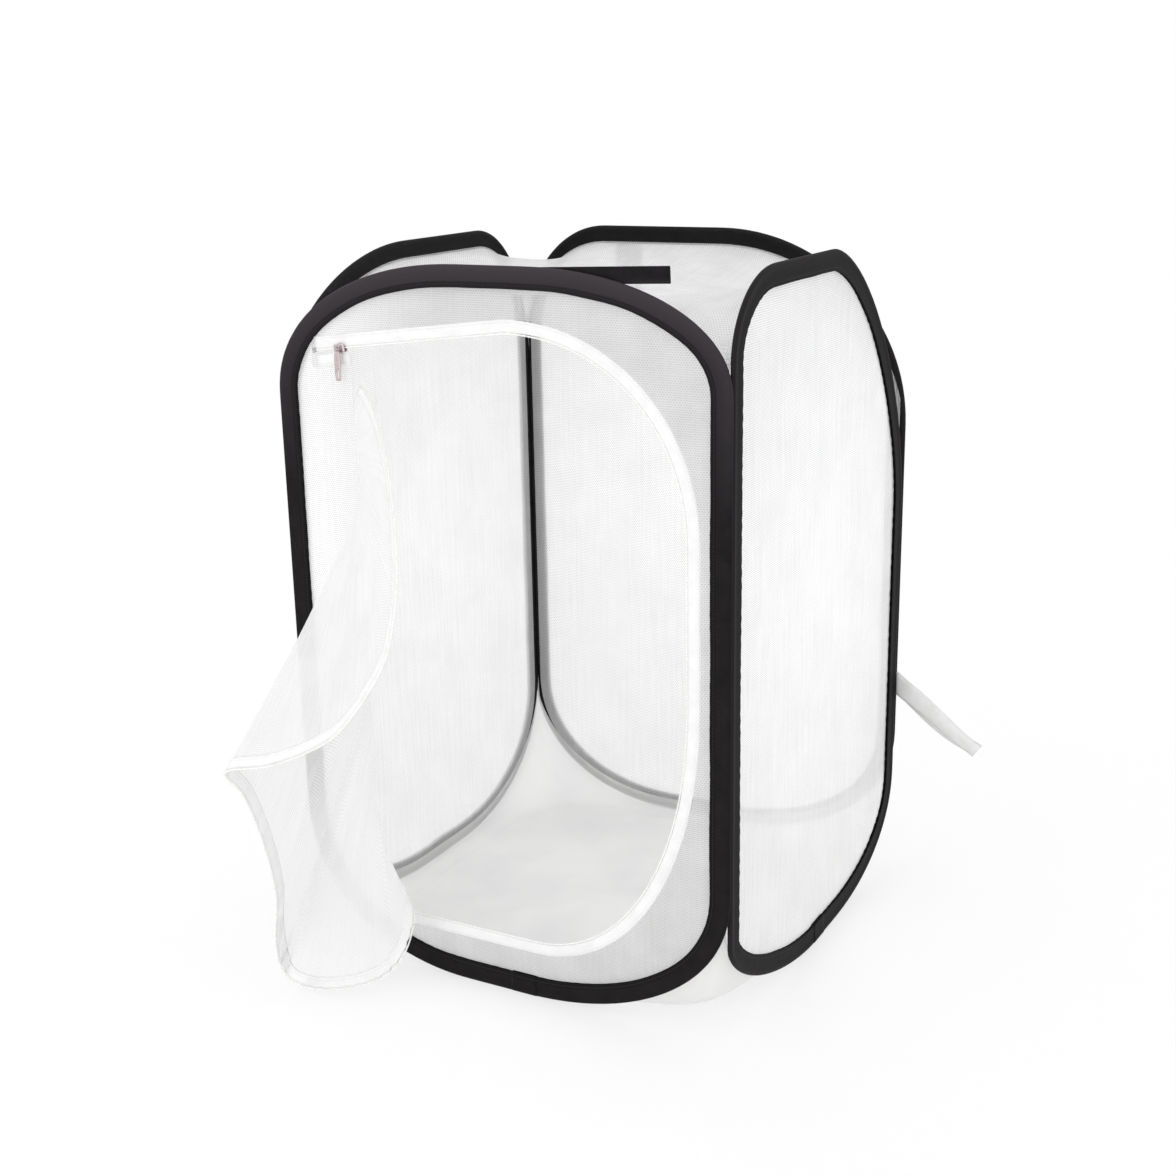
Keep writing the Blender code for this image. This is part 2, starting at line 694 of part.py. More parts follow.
def tie_ribbon(pivot, finishes):
    """A ribbon folded double, upright where it is sewn in and square to its run at the round fold of its end."""
    half = ribbon_spread / 2
    turn_at = ribbon_length - half
    steps = [step / ribbon_steps for step in range(ribbon_steps)]
    middle = [(turn_at * step, half) for step in steps]
    middle += [(turn_at + half * math.sin(math.pi * step), half * math.cos(math.pi * step)) for step in [*steps, 1]]
    middle += [(turn_at * step, -half) for step in reversed(steps)]
    run = Vector((math.cos(ribbon_droop), 0, -math.sin(ribbon_droop)))
    bm = bmesh.new()
    pairs = []
    for along, side in middle:
        tilt = ribbon_droop * along / ribbon_length
        across = Vector((math.sin(tilt), 0, math.cos(tilt))) * ribbon_width / 2
        centre = run * along + Vector((0, side, 0))
        pairs.append((bm.verts.new(centre + across), bm.verts.new(centre - across)))
    for (top, low), (next_top, next_low) in zip(pairs, pairs[1:]):
        bm.faces.new((top, low, next_low, next_top))
    root = Vector((half_width + fit_gap, half_depth - half - ribbon_thickness / 2, ribbon_height))
    ribbon = add_object("tie_ribbon", mesh_from("tie_ribbon", bm), finishes["ribbon"], Matrix.Translation(root), pivot)
    wall = ribbon.modifiers.new("wall", "SOLIDIFY")
    wall.thickness = ribbon_thickness
    wall.offset = 0


def main():
    new_scene()
    finishes = {
        "tape": material("binding_tape", (0.020, 0.018, 0.020), 0.75),
        "steel": material("spring_steel", (0.45, 0.45, 0.46), 0.35, 1.0),
        "mesh": material("mesh_net", (0.86, 0.86, 0.86), 0.80),
        "floor": material("floor_cloth", (0.88, 0.88, 0.88), 0.75),
        "zip": material("zip_tape", (0.90, 0.90, 0.89), 0.65),
        "coil": material("zip_coil", (0.90, 0.90, 0.89), 0.45),
        "nickel": material("nickel", (0.70, 0.64, 0.64), 0.28, 1.0),
        "webbing": material("webbing", (0.016, 0.015, 0.016), 0.80),
        "patch": material("hook_and_loop", (0.030, 0.030, 0.030), 0.95),
        "ribbon": material("ribbon", (0.88, 0.88, 0.87), 0.60),
    }
    inside = half_width - seam_offset
    inside_y = half_depth - seam_offset
    right_pivot = add_pivot("right_fold_axis", (inside, -inside_y, 0))
    left_pivot = add_pivot("left_fold_axis", (-half_width, -half_depth, 0))
    back_pivot = add_pivot("back_fold_axis", (half_width, half_depth, 0))

    path, slope = door_path()
    front_place = Matrix.Translation((0, -front_plane, 0)) @ upright()
    back_place = Matrix.Translation((0, front_plane, 0)) @ upright()
    right_place = Matrix.Translation((side_plane, 0, 0)) @ upright(math.pi / 2)
    left_place = Matrix.Translation((-side_plane, 0, 0)) @ upright(math.pi / 2)
    hole = panel_hole(path, slope)
    hoop_side("front", half_width, front_corner_shares, front_place, None, finishes, hole)
    hoop_side("back", half_width, back_corner_shares, back_place, back_pivot, finishes)
    hoop_side("right", side_half, right_corner_shares, right_place, right_pivot, finishes)
    hoop_side("left", side_half, left_corner_shares, left_place, left_pivot, finishes)

    front, back = front_corner_shares, back_corner_shares
    right, left = right_corner_shares, left_corner_shares
    seams = (
        ("front_right_seam", inside, -inside_y, (front, True), (right, False), None),
        ("front_left_seam", -inside, -inside_y, (front, False), (left, False), None),
        ("back_right_seam", inside, inside_y, (back, True), (right, True), right_pivot),
        ("back_left_seam", -inside, inside_y, (back, False), (left, True), back_pivot),
    )
    for name, x, y, one, other, pivot in seams:
        shares = (straight_shares(*one), straight_shares(*other))
        corner_seam(name, x, y, shares, pivot, finishes["tape"])

    stretched_sheet("top_sheet", True, top_sheet_load, finishes["mesh"])
    stretched_sheet("floor_sheet", False, floor_sheet_load, finishes["floor"])

    front_zip(path, slope, front_place, finishes)
    slider_v = door_top_left + (slider_x - door_hinge_x) * math.tan(slope)
    slider_pivot = add_pivot("zip_slide_start", (slider_x, -front_plane, slider_v))
    bail_y = -front_plane - zip_coil_radius - slider_gap - slider_plate - bail_height
    pull_pivot = add_pivot("pull_axis", (slider_x, bail_y, slider_v))
    slider_and_pull(slope, front_place, slider_pivot, pull_pivot, finishes)
    door_flap(add_pivot("door_axis", (door_hinge_x, -front_plane, 0)), finishes)

    strap_y = -half_depth + 2 * fold_half + fit_gap
    front_strap(add_pivot("front_strap_axis", (front_strap_root_x, strap_y, front_strap_root_z)), finishes)
    back_y = front_plane + leg_half + fit_gap + strap_thickness
    back_strap(add_pivot("back_strap_axis", (back_strap_x, back_y, back_strap_top)), finishes)
    tie_ribbon(add_pivot("ribbon_axis", (half_width, half_depth, ribbon_height)), finishes)


main()
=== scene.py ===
# Pop-up mesh insect cage: the finish of every piece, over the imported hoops, door, zip and straps.
import math

import bmesh
import bpy
import numpy as np
from mathutils import Matrix, Vector, noise
from mathutils.geometry import delaunay_2d_cdt


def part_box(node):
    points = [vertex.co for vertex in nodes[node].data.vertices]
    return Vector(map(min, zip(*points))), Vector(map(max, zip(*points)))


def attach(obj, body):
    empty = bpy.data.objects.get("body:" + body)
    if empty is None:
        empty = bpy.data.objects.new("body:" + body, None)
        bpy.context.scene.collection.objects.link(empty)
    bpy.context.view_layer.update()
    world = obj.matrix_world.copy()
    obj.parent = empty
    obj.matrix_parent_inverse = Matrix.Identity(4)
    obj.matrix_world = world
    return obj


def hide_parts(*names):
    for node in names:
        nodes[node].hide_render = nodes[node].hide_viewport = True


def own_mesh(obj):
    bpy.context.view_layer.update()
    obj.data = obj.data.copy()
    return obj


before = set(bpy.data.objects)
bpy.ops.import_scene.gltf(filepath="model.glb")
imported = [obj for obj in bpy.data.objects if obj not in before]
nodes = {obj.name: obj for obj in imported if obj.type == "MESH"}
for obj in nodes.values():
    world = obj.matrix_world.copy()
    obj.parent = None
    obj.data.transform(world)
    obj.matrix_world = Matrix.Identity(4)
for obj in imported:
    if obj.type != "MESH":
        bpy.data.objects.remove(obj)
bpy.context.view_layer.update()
print("frame loaded:", len(nodes), "nodes")


def linear(hexColour, alpha=1.0):  # sRGB hex to the linear numbers that sockets take
    parts = [int(hexColour[i:i + 2], 16) / 255 for i in (0, 2, 4)]
    return tuple(p / 12.92 if p <= 0.04045 else ((p + 0.055) / 1.055) ** 2.4 for p in parts) + (alpha,)


# What a node passes on when it is given as an input, where that isn't its first output
mainOutput = {"ShaderNodeTexBrick": "Fac", "ShaderNodeTexChecker": "Fac", "ShaderNodeTexWave": "Fac",
              "ShaderNodeTexCoord": "Object", "ShaderNodeMix": "Result", "ShaderNodeVectorMath": "Value"}


def addNode(tree, kind, inputs=(), stops=(), **settings):
    # inputs go by name or in order, each a value, or a node or socket to link; stops are a ramp's places and colours
    node = tree.nodes.new("ShaderNode" + kind)
    for key, value in settings.items():
        setattr(node, key, value)
    for key, value in inputs.items() if isinstance(inputs, dict) else enumerate(inputs):
        if isinstance(value, bpy.types.Node):
            value = value.outputs[mainOutput.get(value.bl_idname, 0)]
        if isinstance(value, bpy.types.NodeSocket):
            tree.links.new(value, node.inputs[key])
        else:
            node.inputs[key].default_value = value
    for index, (at, colour) in enumerate(stops):
        node.color_ramp.elements[index].color = linear(colour)
        node.color_ramp.elements[index].position = at
    return node


def startMaterial(name):
    made = bpy.data.materials.new(name)
    made.use_nodes = True
    made.node_tree.nodes.clear()
    return made, made.node_tree


def surfaceMm(tree):  # the piece's own UV, kept in metres, as millimetres along and across the cloth
    return addNode(tree, "Mapping", {"Vector": addNode(tree, "UVMap", uv_map="cloth"), "Scale": (1000, 1000, 1000)})


def objectMm(tree):
    return addNode(tree, "Mapping", {"Vector": addNode(tree, "TexCoord"), "Scale": (1000, 1000, 1000)})


def thinCloth(tree, front, colour, through, cover=1.0):
    # light comes through thin cloth, and where it covers less than all, what lies behind it shows too
    cloth = addNode(tree, "MixShader", (through, front, addNode(tree, "BsdfTranslucent", {"Color": colour})))
    if cover != 1.0:
        cloth = addNode(tree, "MixShader", (cover, addNode(tree, "BsdfTransparent"), cloth))
    addNode(tree, "OutputMaterial", {"Surface": cloth})


def stitchRow(tree, along, across, look):  # 1 on each stitch of a sewn row and 0 elsewhere
    offRow = addNode(tree, "Math", (across, look["stitchAt"]), operation="SUBTRACT")
    offRow = addNode(tree, "Math", (offRow,), operation="ABSOLUTE")
    onRow = addNode(tree, "Math", (offRow, look["stitchWide"] / 2), operation="LESS_THAN")
    step = addNode(tree, "Math", (along, look["stitch"]), operation="DIVIDE")
    step = addNode(tree, "Math", (step,), operation="FRACT")
    thread = addNode(tree, "Math", (step, look["stitchShare"]), operation="LESS_THAN")
    return addNode(tree, "Math", (onRow, thread), operation="MULTIPLY")


# Knitted polyester net: soft white yarn round small open cells, so what is behind it shows as through haze.
# The real cells are about 0.8 mm, too fine for a picture of the whole cage, so they are drawn 2.2 mm wide.
netLook = {"cellWidth": 2.2, "cellHeight": 1.7, "yarn": 0.62, "haze": 0.63, "yarnHaze": 0.92, "uneven": 0.035,
           "white": "FDFDFD", "shade": "F6F6F6", "through": 0.5}
# The front net's greyer colour is painted shade, and its lighter left side is painted light. The hanging door's net
# is painted lighter low down, a painted light, and thickens at its gathered foot.
frontNetLook = {**netLook, "white": "DCDCDC", "shade": "D0D0D0", "paintedLightAlong": "X", "paintedLightFrom": -60.0,
                "paintedLightTo": -165.0}
# The top net is given a greyer colour, a painted shade.
topNetLook = {**netLook, "white": "EDEDED", "shade": "DDDDDD"}
doorNetLook = {**netLook, "white": "FAFAFA", "shade": "F3F3F3", "haze": 0.66, "yarnHaze": 0.84, "through": 0.4,
               "paintedLightAlong": "Z", "paintedLightFrom": 300.0, "paintedLightTo": 150.0, "denseFrom": 230.0, "denseTo": 90.0,
               "dense": 0.24}


def knittedNet(name, look):
    made, tree = startMaterial(name)
    mm = surfaceMm(tree)
    cells = addNode(tree, "TexBrick", {
        "Vector": mm, "Scale": 1.0, "Mortar Size": look["yarn"] / 2, "Mortar Smooth": 0.35,
        "Brick Width": look["cellWidth"], "Row Height": look["cellHeight"]})
    drift = addNode(tree, "TexNoise", {"Vector": mm, "Scale": 0.02, "Detail": 3.0, "Roughness": 0.6})
    drawn = addNode(tree, "Mapping", {"Vector": mm, "Scale": (0.35, 0.012, 1.0)})
    streaks = addNode(tree, "TexNoise", {"Vector": drawn, "Scale": 1.0, "Detail": 2.0})
    cover = addNode(tree, "MapRange", {"Value": cells, "To Min": look["haze"], "To Max": look["yarnHaze"]})
    uneven = addNode(tree, "MapRange", {
        "Value": streaks, "From Min": 0.3, "From Max": 0.7, "To Min": -look["uneven"], "To Max": look["uneven"]})
    cover = addNode(tree, "Math", (cover, uneven), operation="ADD")
    colour = addNode(tree, "ValToRGB", {"Fac": drift}, stops=((0.3, look["shade"]), (0.62, look["white"])))
    # Painted light: where a look asks for it, the net's colour is blended towards white along one axis
    if "paintedLightTo" in look:
        spot = addNode(tree, "SeparateXYZ", {"Vector": objectMm(tree)}).outputs
        paintedLight = addNode(tree, "MapRange", {
            "Value": spot[look["paintedLightAlong"]], "From Min": look["paintedLightFrom"], "From Max": look["paintedLightTo"]})
        colour = addNode(tree, "Mix", {"Factor": paintedLight, "A": colour, "B": linear("FFFFFF")}, data_type="RGBA")
        if "dense" in look:
            gathered = addNode(tree, "MapRange", {
                "Value": spot["Z"], "From Min": look["denseFrom"], "From Max": look["denseTo"],
                "To Max": look["dense"]})
            cover = addNode(tree, "Math", (cover, gathered), operation="ADD")
    bump = addNode(tree, "Bump", {"Height": cells, "Strength": 0.25, "Distance": 0.0003})
    yarn = addNode(tree, "BsdfPrincipled", {
        "Base Color": colour, "Roughness": 0.82, "Specular IOR Level": 0.2, "Sheen Weight": 0.2,
        "Sheen Roughness": 0.5, "Normal": bump})
    thinCloth(tree, yarn, colour, look["through"], cover)
    return made


# Plain-weave polyester: matt white with a fine over-and-under grain and faint creases.
# The yarns are 0.3 mm apart, drawn at 1.1 mm so that the weave shows. Near the rims the cloth is pulled thin, and
# the black binding behind it shows through as grey.
floorLook = {"yarnPitch": 1.1, "white": "FBFBFA", "shade": "F3F3F3", "through": 0.45, "thinFrom": 168.0,
             "thinTo": 190.0, "cover": 0.97, "thinCover": 0.74}


def plainWeave(name, look):
    made, tree = startMaterial(name)
    mm = surfaceMm(tree)
    weave = addNode(tree, "TexChecker", {"Vector": mm, "Scale": 1.0 / look["yarnPitch"]})
    drift = addNode(tree, "TexNoise", {"Vector": mm, "Scale": 0.012, "Detail": 3.0, "Roughness": 0.45})
    spot = addNode(tree, "SeparateXYZ", {"Vector": mm}).outputs
    sideways, inDepth = (addNode(tree, "Math", (spot[axis],), operation="ABSOLUTE") for axis in "XY")
    outward = addNode(tree, "Math", (sideways, inDepth), operation="MAXIMUM")
    cover = addNode(tree, "MapRange", {
        "Value": outward, "From Min": look["thinFrom"], "From Max": look["thinTo"], "To Min": look["cover"],
        "To Max": look["thinCover"]})
    height = addNode(tree, "Math", (weave, 0.15, drift), operation="MULTIPLY_ADD")
    colour = addNode(tree, "ValToRGB", {"Fac": drift}, stops=((0.3, look["shade"]), (0.6, look["white"])))
    bump = addNode(tree, "Bump", {"Height": height, "Strength": 0.3, "Distance": 0.0006})
    cloth = addNode(tree, "BsdfPrincipled", {
        "Base Color": colour, "Roughness": 0.86, "Sheen Weight": 0.15, "Normal": bump})
    thinCloth(tree, cloth, colour, look["through"], cover)
    return made


# Woven polyester binding: near black, with cross ribs, a lighter fold that is partly wear and partly a painted sheen,
# a row of lock stitches and a painted shade that darkens the inner border past them. Its ribs are 0.45 mm apart,
# drawn at 1.2 mm.
bindingLook = {"rib": 1.2, "black": "0E0D0E", "worn": "1B191A", "fold": "252225", "border": "0A090A",
               "thread": "2B282A", "stitch": 3.2, "stitchAt": 14.6, "stitchWide": 0.7, "stitchShare": 0.72,
               "sheen": 0.1, "shine": 0.14, "foldEnd": 5.0, "borderAt": 14.2, "litFrom": -20.0, "litTo": -10.0}
# The front's tape has a painted highlight on its fold, painted lighter the higher it lies.
frontLook = {**bindingLook, "black": "110F11", "worn": "1F1C1E", "fold": "443E43", "foldEnd": 30.0, "borderAt": 12.6,
             "litFrom": 420.0, "litTo": 580.0}
# Woven polypropylene webbing: the same black, with coarser ribs, stitched close to its border, and the binding's
# lighter fold colour along one edge, partly wear and partly painted sheen.
webbingLook = {**bindingLook, "rib": 1.6, "black": "121012", "worn": "221F22", "fold": "262226", "thread": "2C292C",
               "stitch": 3.0, "stitchAt": 1.8, "borderAt": 60.0}
wavePeriod = 0.314  # the distance from crest to crest of a wave texture at a scale of 1


def wovenBinding(name, look):
    made, tree = startMaterial(name)
    mm = surfaceMm(tree)
    spot = addNode(tree, "SeparateXYZ", {"Vector": mm}).outputs
    ribs = addNode(tree, "TexWave", {
        "Vector": mm, "Scale": wavePeriod / look["rib"], "Distortion": 0.6, "Detail": 2.0}, bands_direction="X")
    dust = addNode(tree, "TexNoise", {"Vector": mm, "Scale": 0.06, "Detail": 6.0, "Roughness": 0.65})
    fine = addNode(tree, "TexNoise", {"Vector": mm, "Scale": 1.6, "Detail": 2.0})
    colour = addNode(tree, "ValToRGB", {"Fac": dust}, stops=((0.35, look["black"]), (0.75, look["worn"])))
    # Painted sheen: the fold's lighter colour, partly wear, laid along the fold and as high up as the look asks
    nearFold = addNode(tree, "MapRange", {
        "Value": spot["Y"], "From Min": look["foldEnd"], "From Max": 0.0, "To Max": 0.8})
    upright = addNode(tree, "SeparateXYZ", {"Vector": objectMm(tree)}).outputs["Z"]
    high = addNode(tree, "MapRange", {"Value": upright, "From Min": look["litFrom"], "From Max": look["litTo"]})
    lit = addNode(tree, "Math", (nearFold, high), operation="MULTIPLY")
    # Painted shade: a darker colour along the inner border past the stitches
    border = addNode(tree, "MapRange", {
        "Value": spot["Y"], "From Min": look["borderAt"] - 0.6, "From Max": look["borderAt"] + 0.6, "To Max": 0.6})
    stitches = stitchRow(tree, spot["X"], spot["Y"], look)
    for part, paint in ((lit, "fold"), (border, "border"), (stitches, "thread")):
        colour = addNode(tree, "Mix", {"Factor": part, "A": colour, "B": linear(look[paint])}, data_type="RGBA")
    height = addNode(tree, "Math", (ribs, 0.4, fine), operation="MULTIPLY_ADD")
    height = addNode(tree, "Math", (stitches, 1.4, height), operation="MULTIPLY_ADD")
    bump = addNode(tree, "Bump", {"Height": height, "Strength": 0.5, "Distance": 0.0002})
    rough = addNode(tree, "MapRange", {"Value": dust, "To Min": 0.6, "To Max": 0.85})
    cloth = addNode(tree, "BsdfPrincipled", {
        "Base Color": colour, "Roughness": rough, "Specular IOR Level": look["shine"], "Sheen Weight": look["sheen"],
        "Sheen Roughness": 0.4, "Sheen Tint": linear("8A8088"), "Normal": bump})
    addNode(tree, "OutputMaterial", {"Surface": cloth})
    return made


# Woven zip tape: dense bright white with lengthwise cords and one row of stitches near its outer border.
zipTapeLook = {"cord": 1.3, "white": "FFFFFF", "shade": "F9F9F9", "thread": "ECECEB", "stitch": 2.6,
               "stitchAt": 7.6, "stitchWide": 0.6, "stitchShare": 0.7, "through": 0.25}


def wovenZipTape(name, look):
    made, tree = startMaterial(name)
    mm = surfaceMm(tree)
    spot = addNode(tree, "SeparateXYZ", {"Vector": mm}).outputs
    cords = addNode(tree, "TexWave", {"Vector": mm, "Scale": wavePeriod / look["cord"]}, bands_direction="Y")
    ribs = addNode(tree, "TexWave", {"Vector": mm, "Scale": 0.35}, bands_direction="X")
    drift = addNode(tree, "TexNoise", {"Vector": mm, "Scale": 0.08, "Detail": 4.0})
    stitches = stitchRow(tree, spot["X"], spot["Y"], look)
    colour = addNode(tree, "ValToRGB", {"Fac": drift}, stops=((0.3, look["shade"]), (0.6, look["white"])))
    sewn = addNode(tree, "Mix", {"Factor": stitches, "A": colour, "B": linear(look["thread"])}, data_type="RGBA")
    height = addNode(tree, "Math", (ribs, 0.3), operation="MULTIPLY")
    height = addNode(tree, "Math", (cords, 0.6, height), operation="MULTIPLY_ADD")
    height = addNode(tree, "Math", (stitches, height), operation="ADD")
    bump = addNode(tree, "Bump", {"Height": height, "Strength": 0.4, "Distance": 0.0002})
    cloth = addNode(tree, "BsdfPrincipled", {
        "Base Color": sewn, "Roughness": 0.7, "Sheen Weight": 0.15, "Normal": bump})
    thinCloth(tree, cloth, colour, look["through"])
    return made


# Polyester monofilament, wound as the zip's coil: glossy milky white with fine rub marks.
def polyesterCoil(name):
    made, tree = startMaterial(name)
    rub = addNode(tree, "TexNoise", {"Vector": objectMm(tree), "Scale": 0.5, "Detail": 4.0})
    colour = addNode(tree, "ValToRGB", {"Fac": rub}, stops=((0.35, "EFEFEC"), (0.6, "FBFBF9")))
    rough = addNode(tree, "MapRange", {"Value": rub, "To Min": 0.25, "To Max": 0.5})
    coil = addNode(tree, "BsdfPrincipled", {"Base Color": colour, "Roughness": rough, "IOR": 1.5})
    addNode(tree, "OutputMaterial", {"Surface": coil})
    return made


# Metals: a colour, a polish and how far tiny scratches run. Nickel over cast zinc is warm and satin,
# spring steel is drawn wire with lengthwise lines.
def wornMetal(name, bright, dull, smooth, rough, grain):
    made, tree = startMaterial(name)
    mm = objectMm(tree)
    spots = addNode(tree, "TexNoise", {"Vector": mm, "Scale": 0.9, "Detail": 5.0, "Roughness": 0.6})
    stretched = addNode(tree, "Mapping", {"Vector": mm, "Scale": grain})
    lines = addNode(tree, "TexNoise", {"Vector": stretched, "Scale": 1.0, "Detail": 3.0})
    colour = addNode(tree, "ValToRGB", {"Fac": spots}, stops=((0.3, dull), (0.6, bright)))
    polish = addNode(tree, "MapRange", {
        "Value": lines, "From Min": 0.3, "From Max": 0.7, "To Min": smooth, "To Max": rough})
    bump = addNode(tree, "Bump", {"Height": lines, "Strength": 0.12, "Distance": 0.00005})
    metal = addNode(tree, "BsdfPrincipled", {
        "Base Color": colour, "Metallic": 1.0, "Roughness": polish, "Normal": bump})
    addNode(tree, "OutputMaterial", {"Surface": metal})
    return made


# Nylon hook and loop: black, dull and napped, so its grain is short random fibres.
def nappedLoop(name):
    made, tree = startMaterial(name)
    mm = objectMm(tree)
    nap = addNode(tree, "TexVoronoi", {"Vector": mm, "Scale": 1.1, "Randomness": 0.9})
    fuzz = addNode(tree, "TexNoise", {"Vector": mm, "Scale": 2.5, "Detail": 5.0})
    colour = addNode(tree, "ValToRGB", {"Fac": fuzz}, stops=((0.35, "121112"), (0.7, "302D30")))
    height = addNode(tree, "Math", (fuzz, nap), operation="SUBTRACT")
    bump = addNode(tree, "Bump", {"Height": height, "Strength": 0.8, "Distance": 0.0005})
    cloth = addNode(tree, "BsdfPrincipled", {
        "Base Color": colour, "Roughness": 0.95, "Sheen Weight": 0.5, "Normal": bump})
    addNode(tree, "OutputMaterial", {"Surface": cloth})
    return made


# Polyester ribbon: soft white, fine cross ribs and a faint satin shine, thin enough to glow.
ribbonLook = {"rib": 0.9, "white": "FFFFFF", "shade": "F4F4F3", "edge": 1.6, "width": 22.0, "through": 0.3}


def ribbedRibbon(name, look):
    made, tree = startMaterial(name)
    mm = surfaceMm(tree)
    across = addNode(tree, "SeparateXYZ", {"Vector": mm}).outputs["Y"]
    ribs = addNode(tree, "TexWave", {"Vector": mm, "Scale": wavePeriod / look["rib"]}, bands_direction="X")
    drift = addNode(tree, "TexNoise", {"Vector": mm, "Scale": 0.1, "Detail": 4.0})
    offMiddle = addNode(tree, "Math", (across, look["width"] / 2), operation="SUBTRACT")
    offMiddle = addNode(tree, "Math", (offMiddle,), operation="ABSOLUTE")
    selvedge = addNode(tree, "Math", (offMiddle, look["width"] / 2 - look["edge"]), operation="GREATER_THAN")
    colour = addNode(tree, "ValToRGB", {"Fac": drift}, stops=((0.3, look["shade"]), (0.65, look["white"])))
    height = addNode(tree, "Math", (selvedge, 0.8, ribs), operation="MULTIPLY_ADD")
    bump = addNode(tree, "Bump", {"Height": height, "Strength": 0.3, "Distance": 0.00015})
    cloth = addNode(tree, "BsdfPrincipled", {
        "Base Color": colour, "Roughness": 0.55, "Sheen Weight": 0.3, "Normal": bump})
    thinCloth(tree, cloth, colour, look["through"])
    return made


net = knittedNet("knittedPolyesterNet", netLook)
shadedFrontNet = knittedNet("knittedPolyesterFrontNet", frontNetLook)
topNet = knittedNet("knittedPolyesterTopNet", topNetLook)
doorNet = knittedNet("knittedPolyesterDoorNet", doorNetLook)
floorCloth = plainWeave("plainWeavePolyester", floorLook)
binding = wovenBinding("wovenPolyesterBinding", bindingLook)
frontCloth = wovenBinding("wovenPolyesterFrontBinding", frontLook)
webbing = wovenBinding("wovenPolypropyleneWebbing", webbingLook)
zipCloth = wovenZipTape("wovenZipTape", zipTapeLook)
coilPlastic = polyesterCoil("polyesterCoil")
nickel = wornMetal("nickelPlatedZinc", "CDC0C2", "A4979B", 0.22, 0.4, (0.6, 0.6, 4.0))
springSteel = wornMetal("drawnSpringSteel", "B9BABD", "8E8F93", 0.25, 0.45, (0.4, 0.4, 3.0))
zincCrimp = wornMetal("zincPlatedCrimp", "C9CACB", "A2A4A8", 0.3, 0.5, (1.5, 1.5, 1.5))
loopPad = nappedLoop("nylonHookAndLoop")
ribbonCloth = ribbedRibbon("ribbedPolyesterRibbon", ribbonLook)
print("materials made")


# The hoops: each corner reaches these shares of half the width and half the height, and is rounded as an ellipse
# where the third number is 2 and squarer above. They go from the top right by the left to the lower right.
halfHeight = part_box("front_binding_tape")[1].z / 2
hoops = {
    "front": {"turned": False,
              "corners": ((0.84, 0.29, 2.1), (0.87, 0.36, 2.1), (0.80, 0.45, 2.1), (0.92, 0.42, 2.1))},
    "right": {"turned": True,
              "corners": ((0.98, 0.80, 1.65), (0.40, 0.22, 2.0), (0.94, 0.27, 1.6), (0.80, 0.30, 2.2))},
    "back": {"turned": False,
             "corners": ((0.92, 0.58, 2.0), (0.46, 0.38, 2.0), (0.80, 0.42, 2.1), (0.86, 0.42, 2.1))},
    "left": {"turned": True,
             "corners": ((0.46, 0.40, 2.0), (0.92, 0.40, 1.9), (0.86, 0.42, 2.1), (0.80, 0.42, 2.1))},
}
cornerSteps = 24
for side, hoop in hoops.items():
    low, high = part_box(side + "_binding_tape")
    hoop["plane"] = (low.x + high.x) / 2 if hoop["turned"] else (low.y + high.y) / 2
    hoop["half"] = (high.y - low.y) / 2 if hoop["turned"] else (high.x - low.x) / 2


def stand(side, u, v, out):  # a point of an upright side: u along it, v up, out towards -Y or +X
    hoop = hoops[side]
    return Vector((hoop["plane"] + out, u, v)) if hoop["turned"] else Vector((u, hoop["plane"] - out, v))


def roundCorner(reachU, reachV, angle, roundness):
    c, s = math.cos(angle), math.sin(angle)
    power = 2 / roundness
    return reachU * math.copysign(abs(c) ** power, c), reachV * math.copysign(abs(s) ** power, s)


def cornerOf(half, corners, index):
    reachU, reachV = corners[index][0] * half, corners[index][1] * halfHeight
    sideways, up = (1 if index in (0, 3) else -1), (1 if index in (0, 1) else -1)
    centre = (sideways * (half - reachU), halfHeight + up * (halfHeight - reachV))
    return centre, (reachU, reachV), corners[index][2]


def hoopOutline(half, corners, inset):
    points = []
    for index in range(4):
        centre, reach, roundness = cornerOf(half, corners, index)
        for step in range(cornerSteps + 1):
            turned = (index + step / cornerSteps) * math.pi / 2
            du, dv = roundCorner(reach[0] - inset, reach[1] - inset, turned, roundness)
            points.append((centre[0] + du, centre[1] + dv))
    return points


def rimHeight(half, corners, u, top):  # height of the hoop's outer edge over a point of its width
    index = (0 if u > 0 else 1) if top else (3 if u > 0 else 2)
    centre, reach, roundness = cornerOf(half, corners, index)
    over = max(0.0, abs(u) - abs(centre[0])) / reach[0]
    rise = reach[1] * max(0.0, 1 - over ** roundness) ** (1 / roundness)
    return centre[1] + rise if top else centre[1] - rise


def evenly(points, spacing, closed):  # the same line with points this far apart, and their distances along it
    line = [Vector(p) for p in points]
    if closed:
        line.append(line[0])
    run = [0.0]
    for a, b in zip(line, line[1:]):
        run.append(run[-1] + (b - a).length)
    count = max(2, round(run[-1] / spacing))
    wanted = [run[-1] * i / count for i in range(count + (0 if closed else 1))]
    made = [Vector([float(np.interp(w, run, axis)) for axis in zip(*line)]) for w in wanted]
    return made, wanted, run[-1]


def leftOf(points, index, closed):  # unit normal to the left of a flat line
    count = len(points)
    before = points[(index - 1) % count] if closed else points[max(index - 1, 0)]
    after = points[(index + 1) % count] if closed else points[min(index + 1, count - 1)]
    way = (after - before).normalized()
    return Vector((-way.y, way.x))


def addFace(bm, verts, uvs):
    face = bm.faces.new(verts)
    face.smooth = True
    uvLayer = bm.loops.layers.uv["cloth"]
    for loop, uv in zip(face.loops, uvs):
        loop[uvLayer].uv = uv


def startCloth():
    bm = bmesh.new()
    bm.loops.layers.uv.new("cloth")
    return bm


def finishCloth(name, bm):
    mesh = bpy.data.meshes.new(name)
    bm.to_mesh(mesh)
    bm.free()
    obj = bpy.data.objects.new(name, mesh)
    bpy.context.scene.collection.objects.link(obj)
    return obj


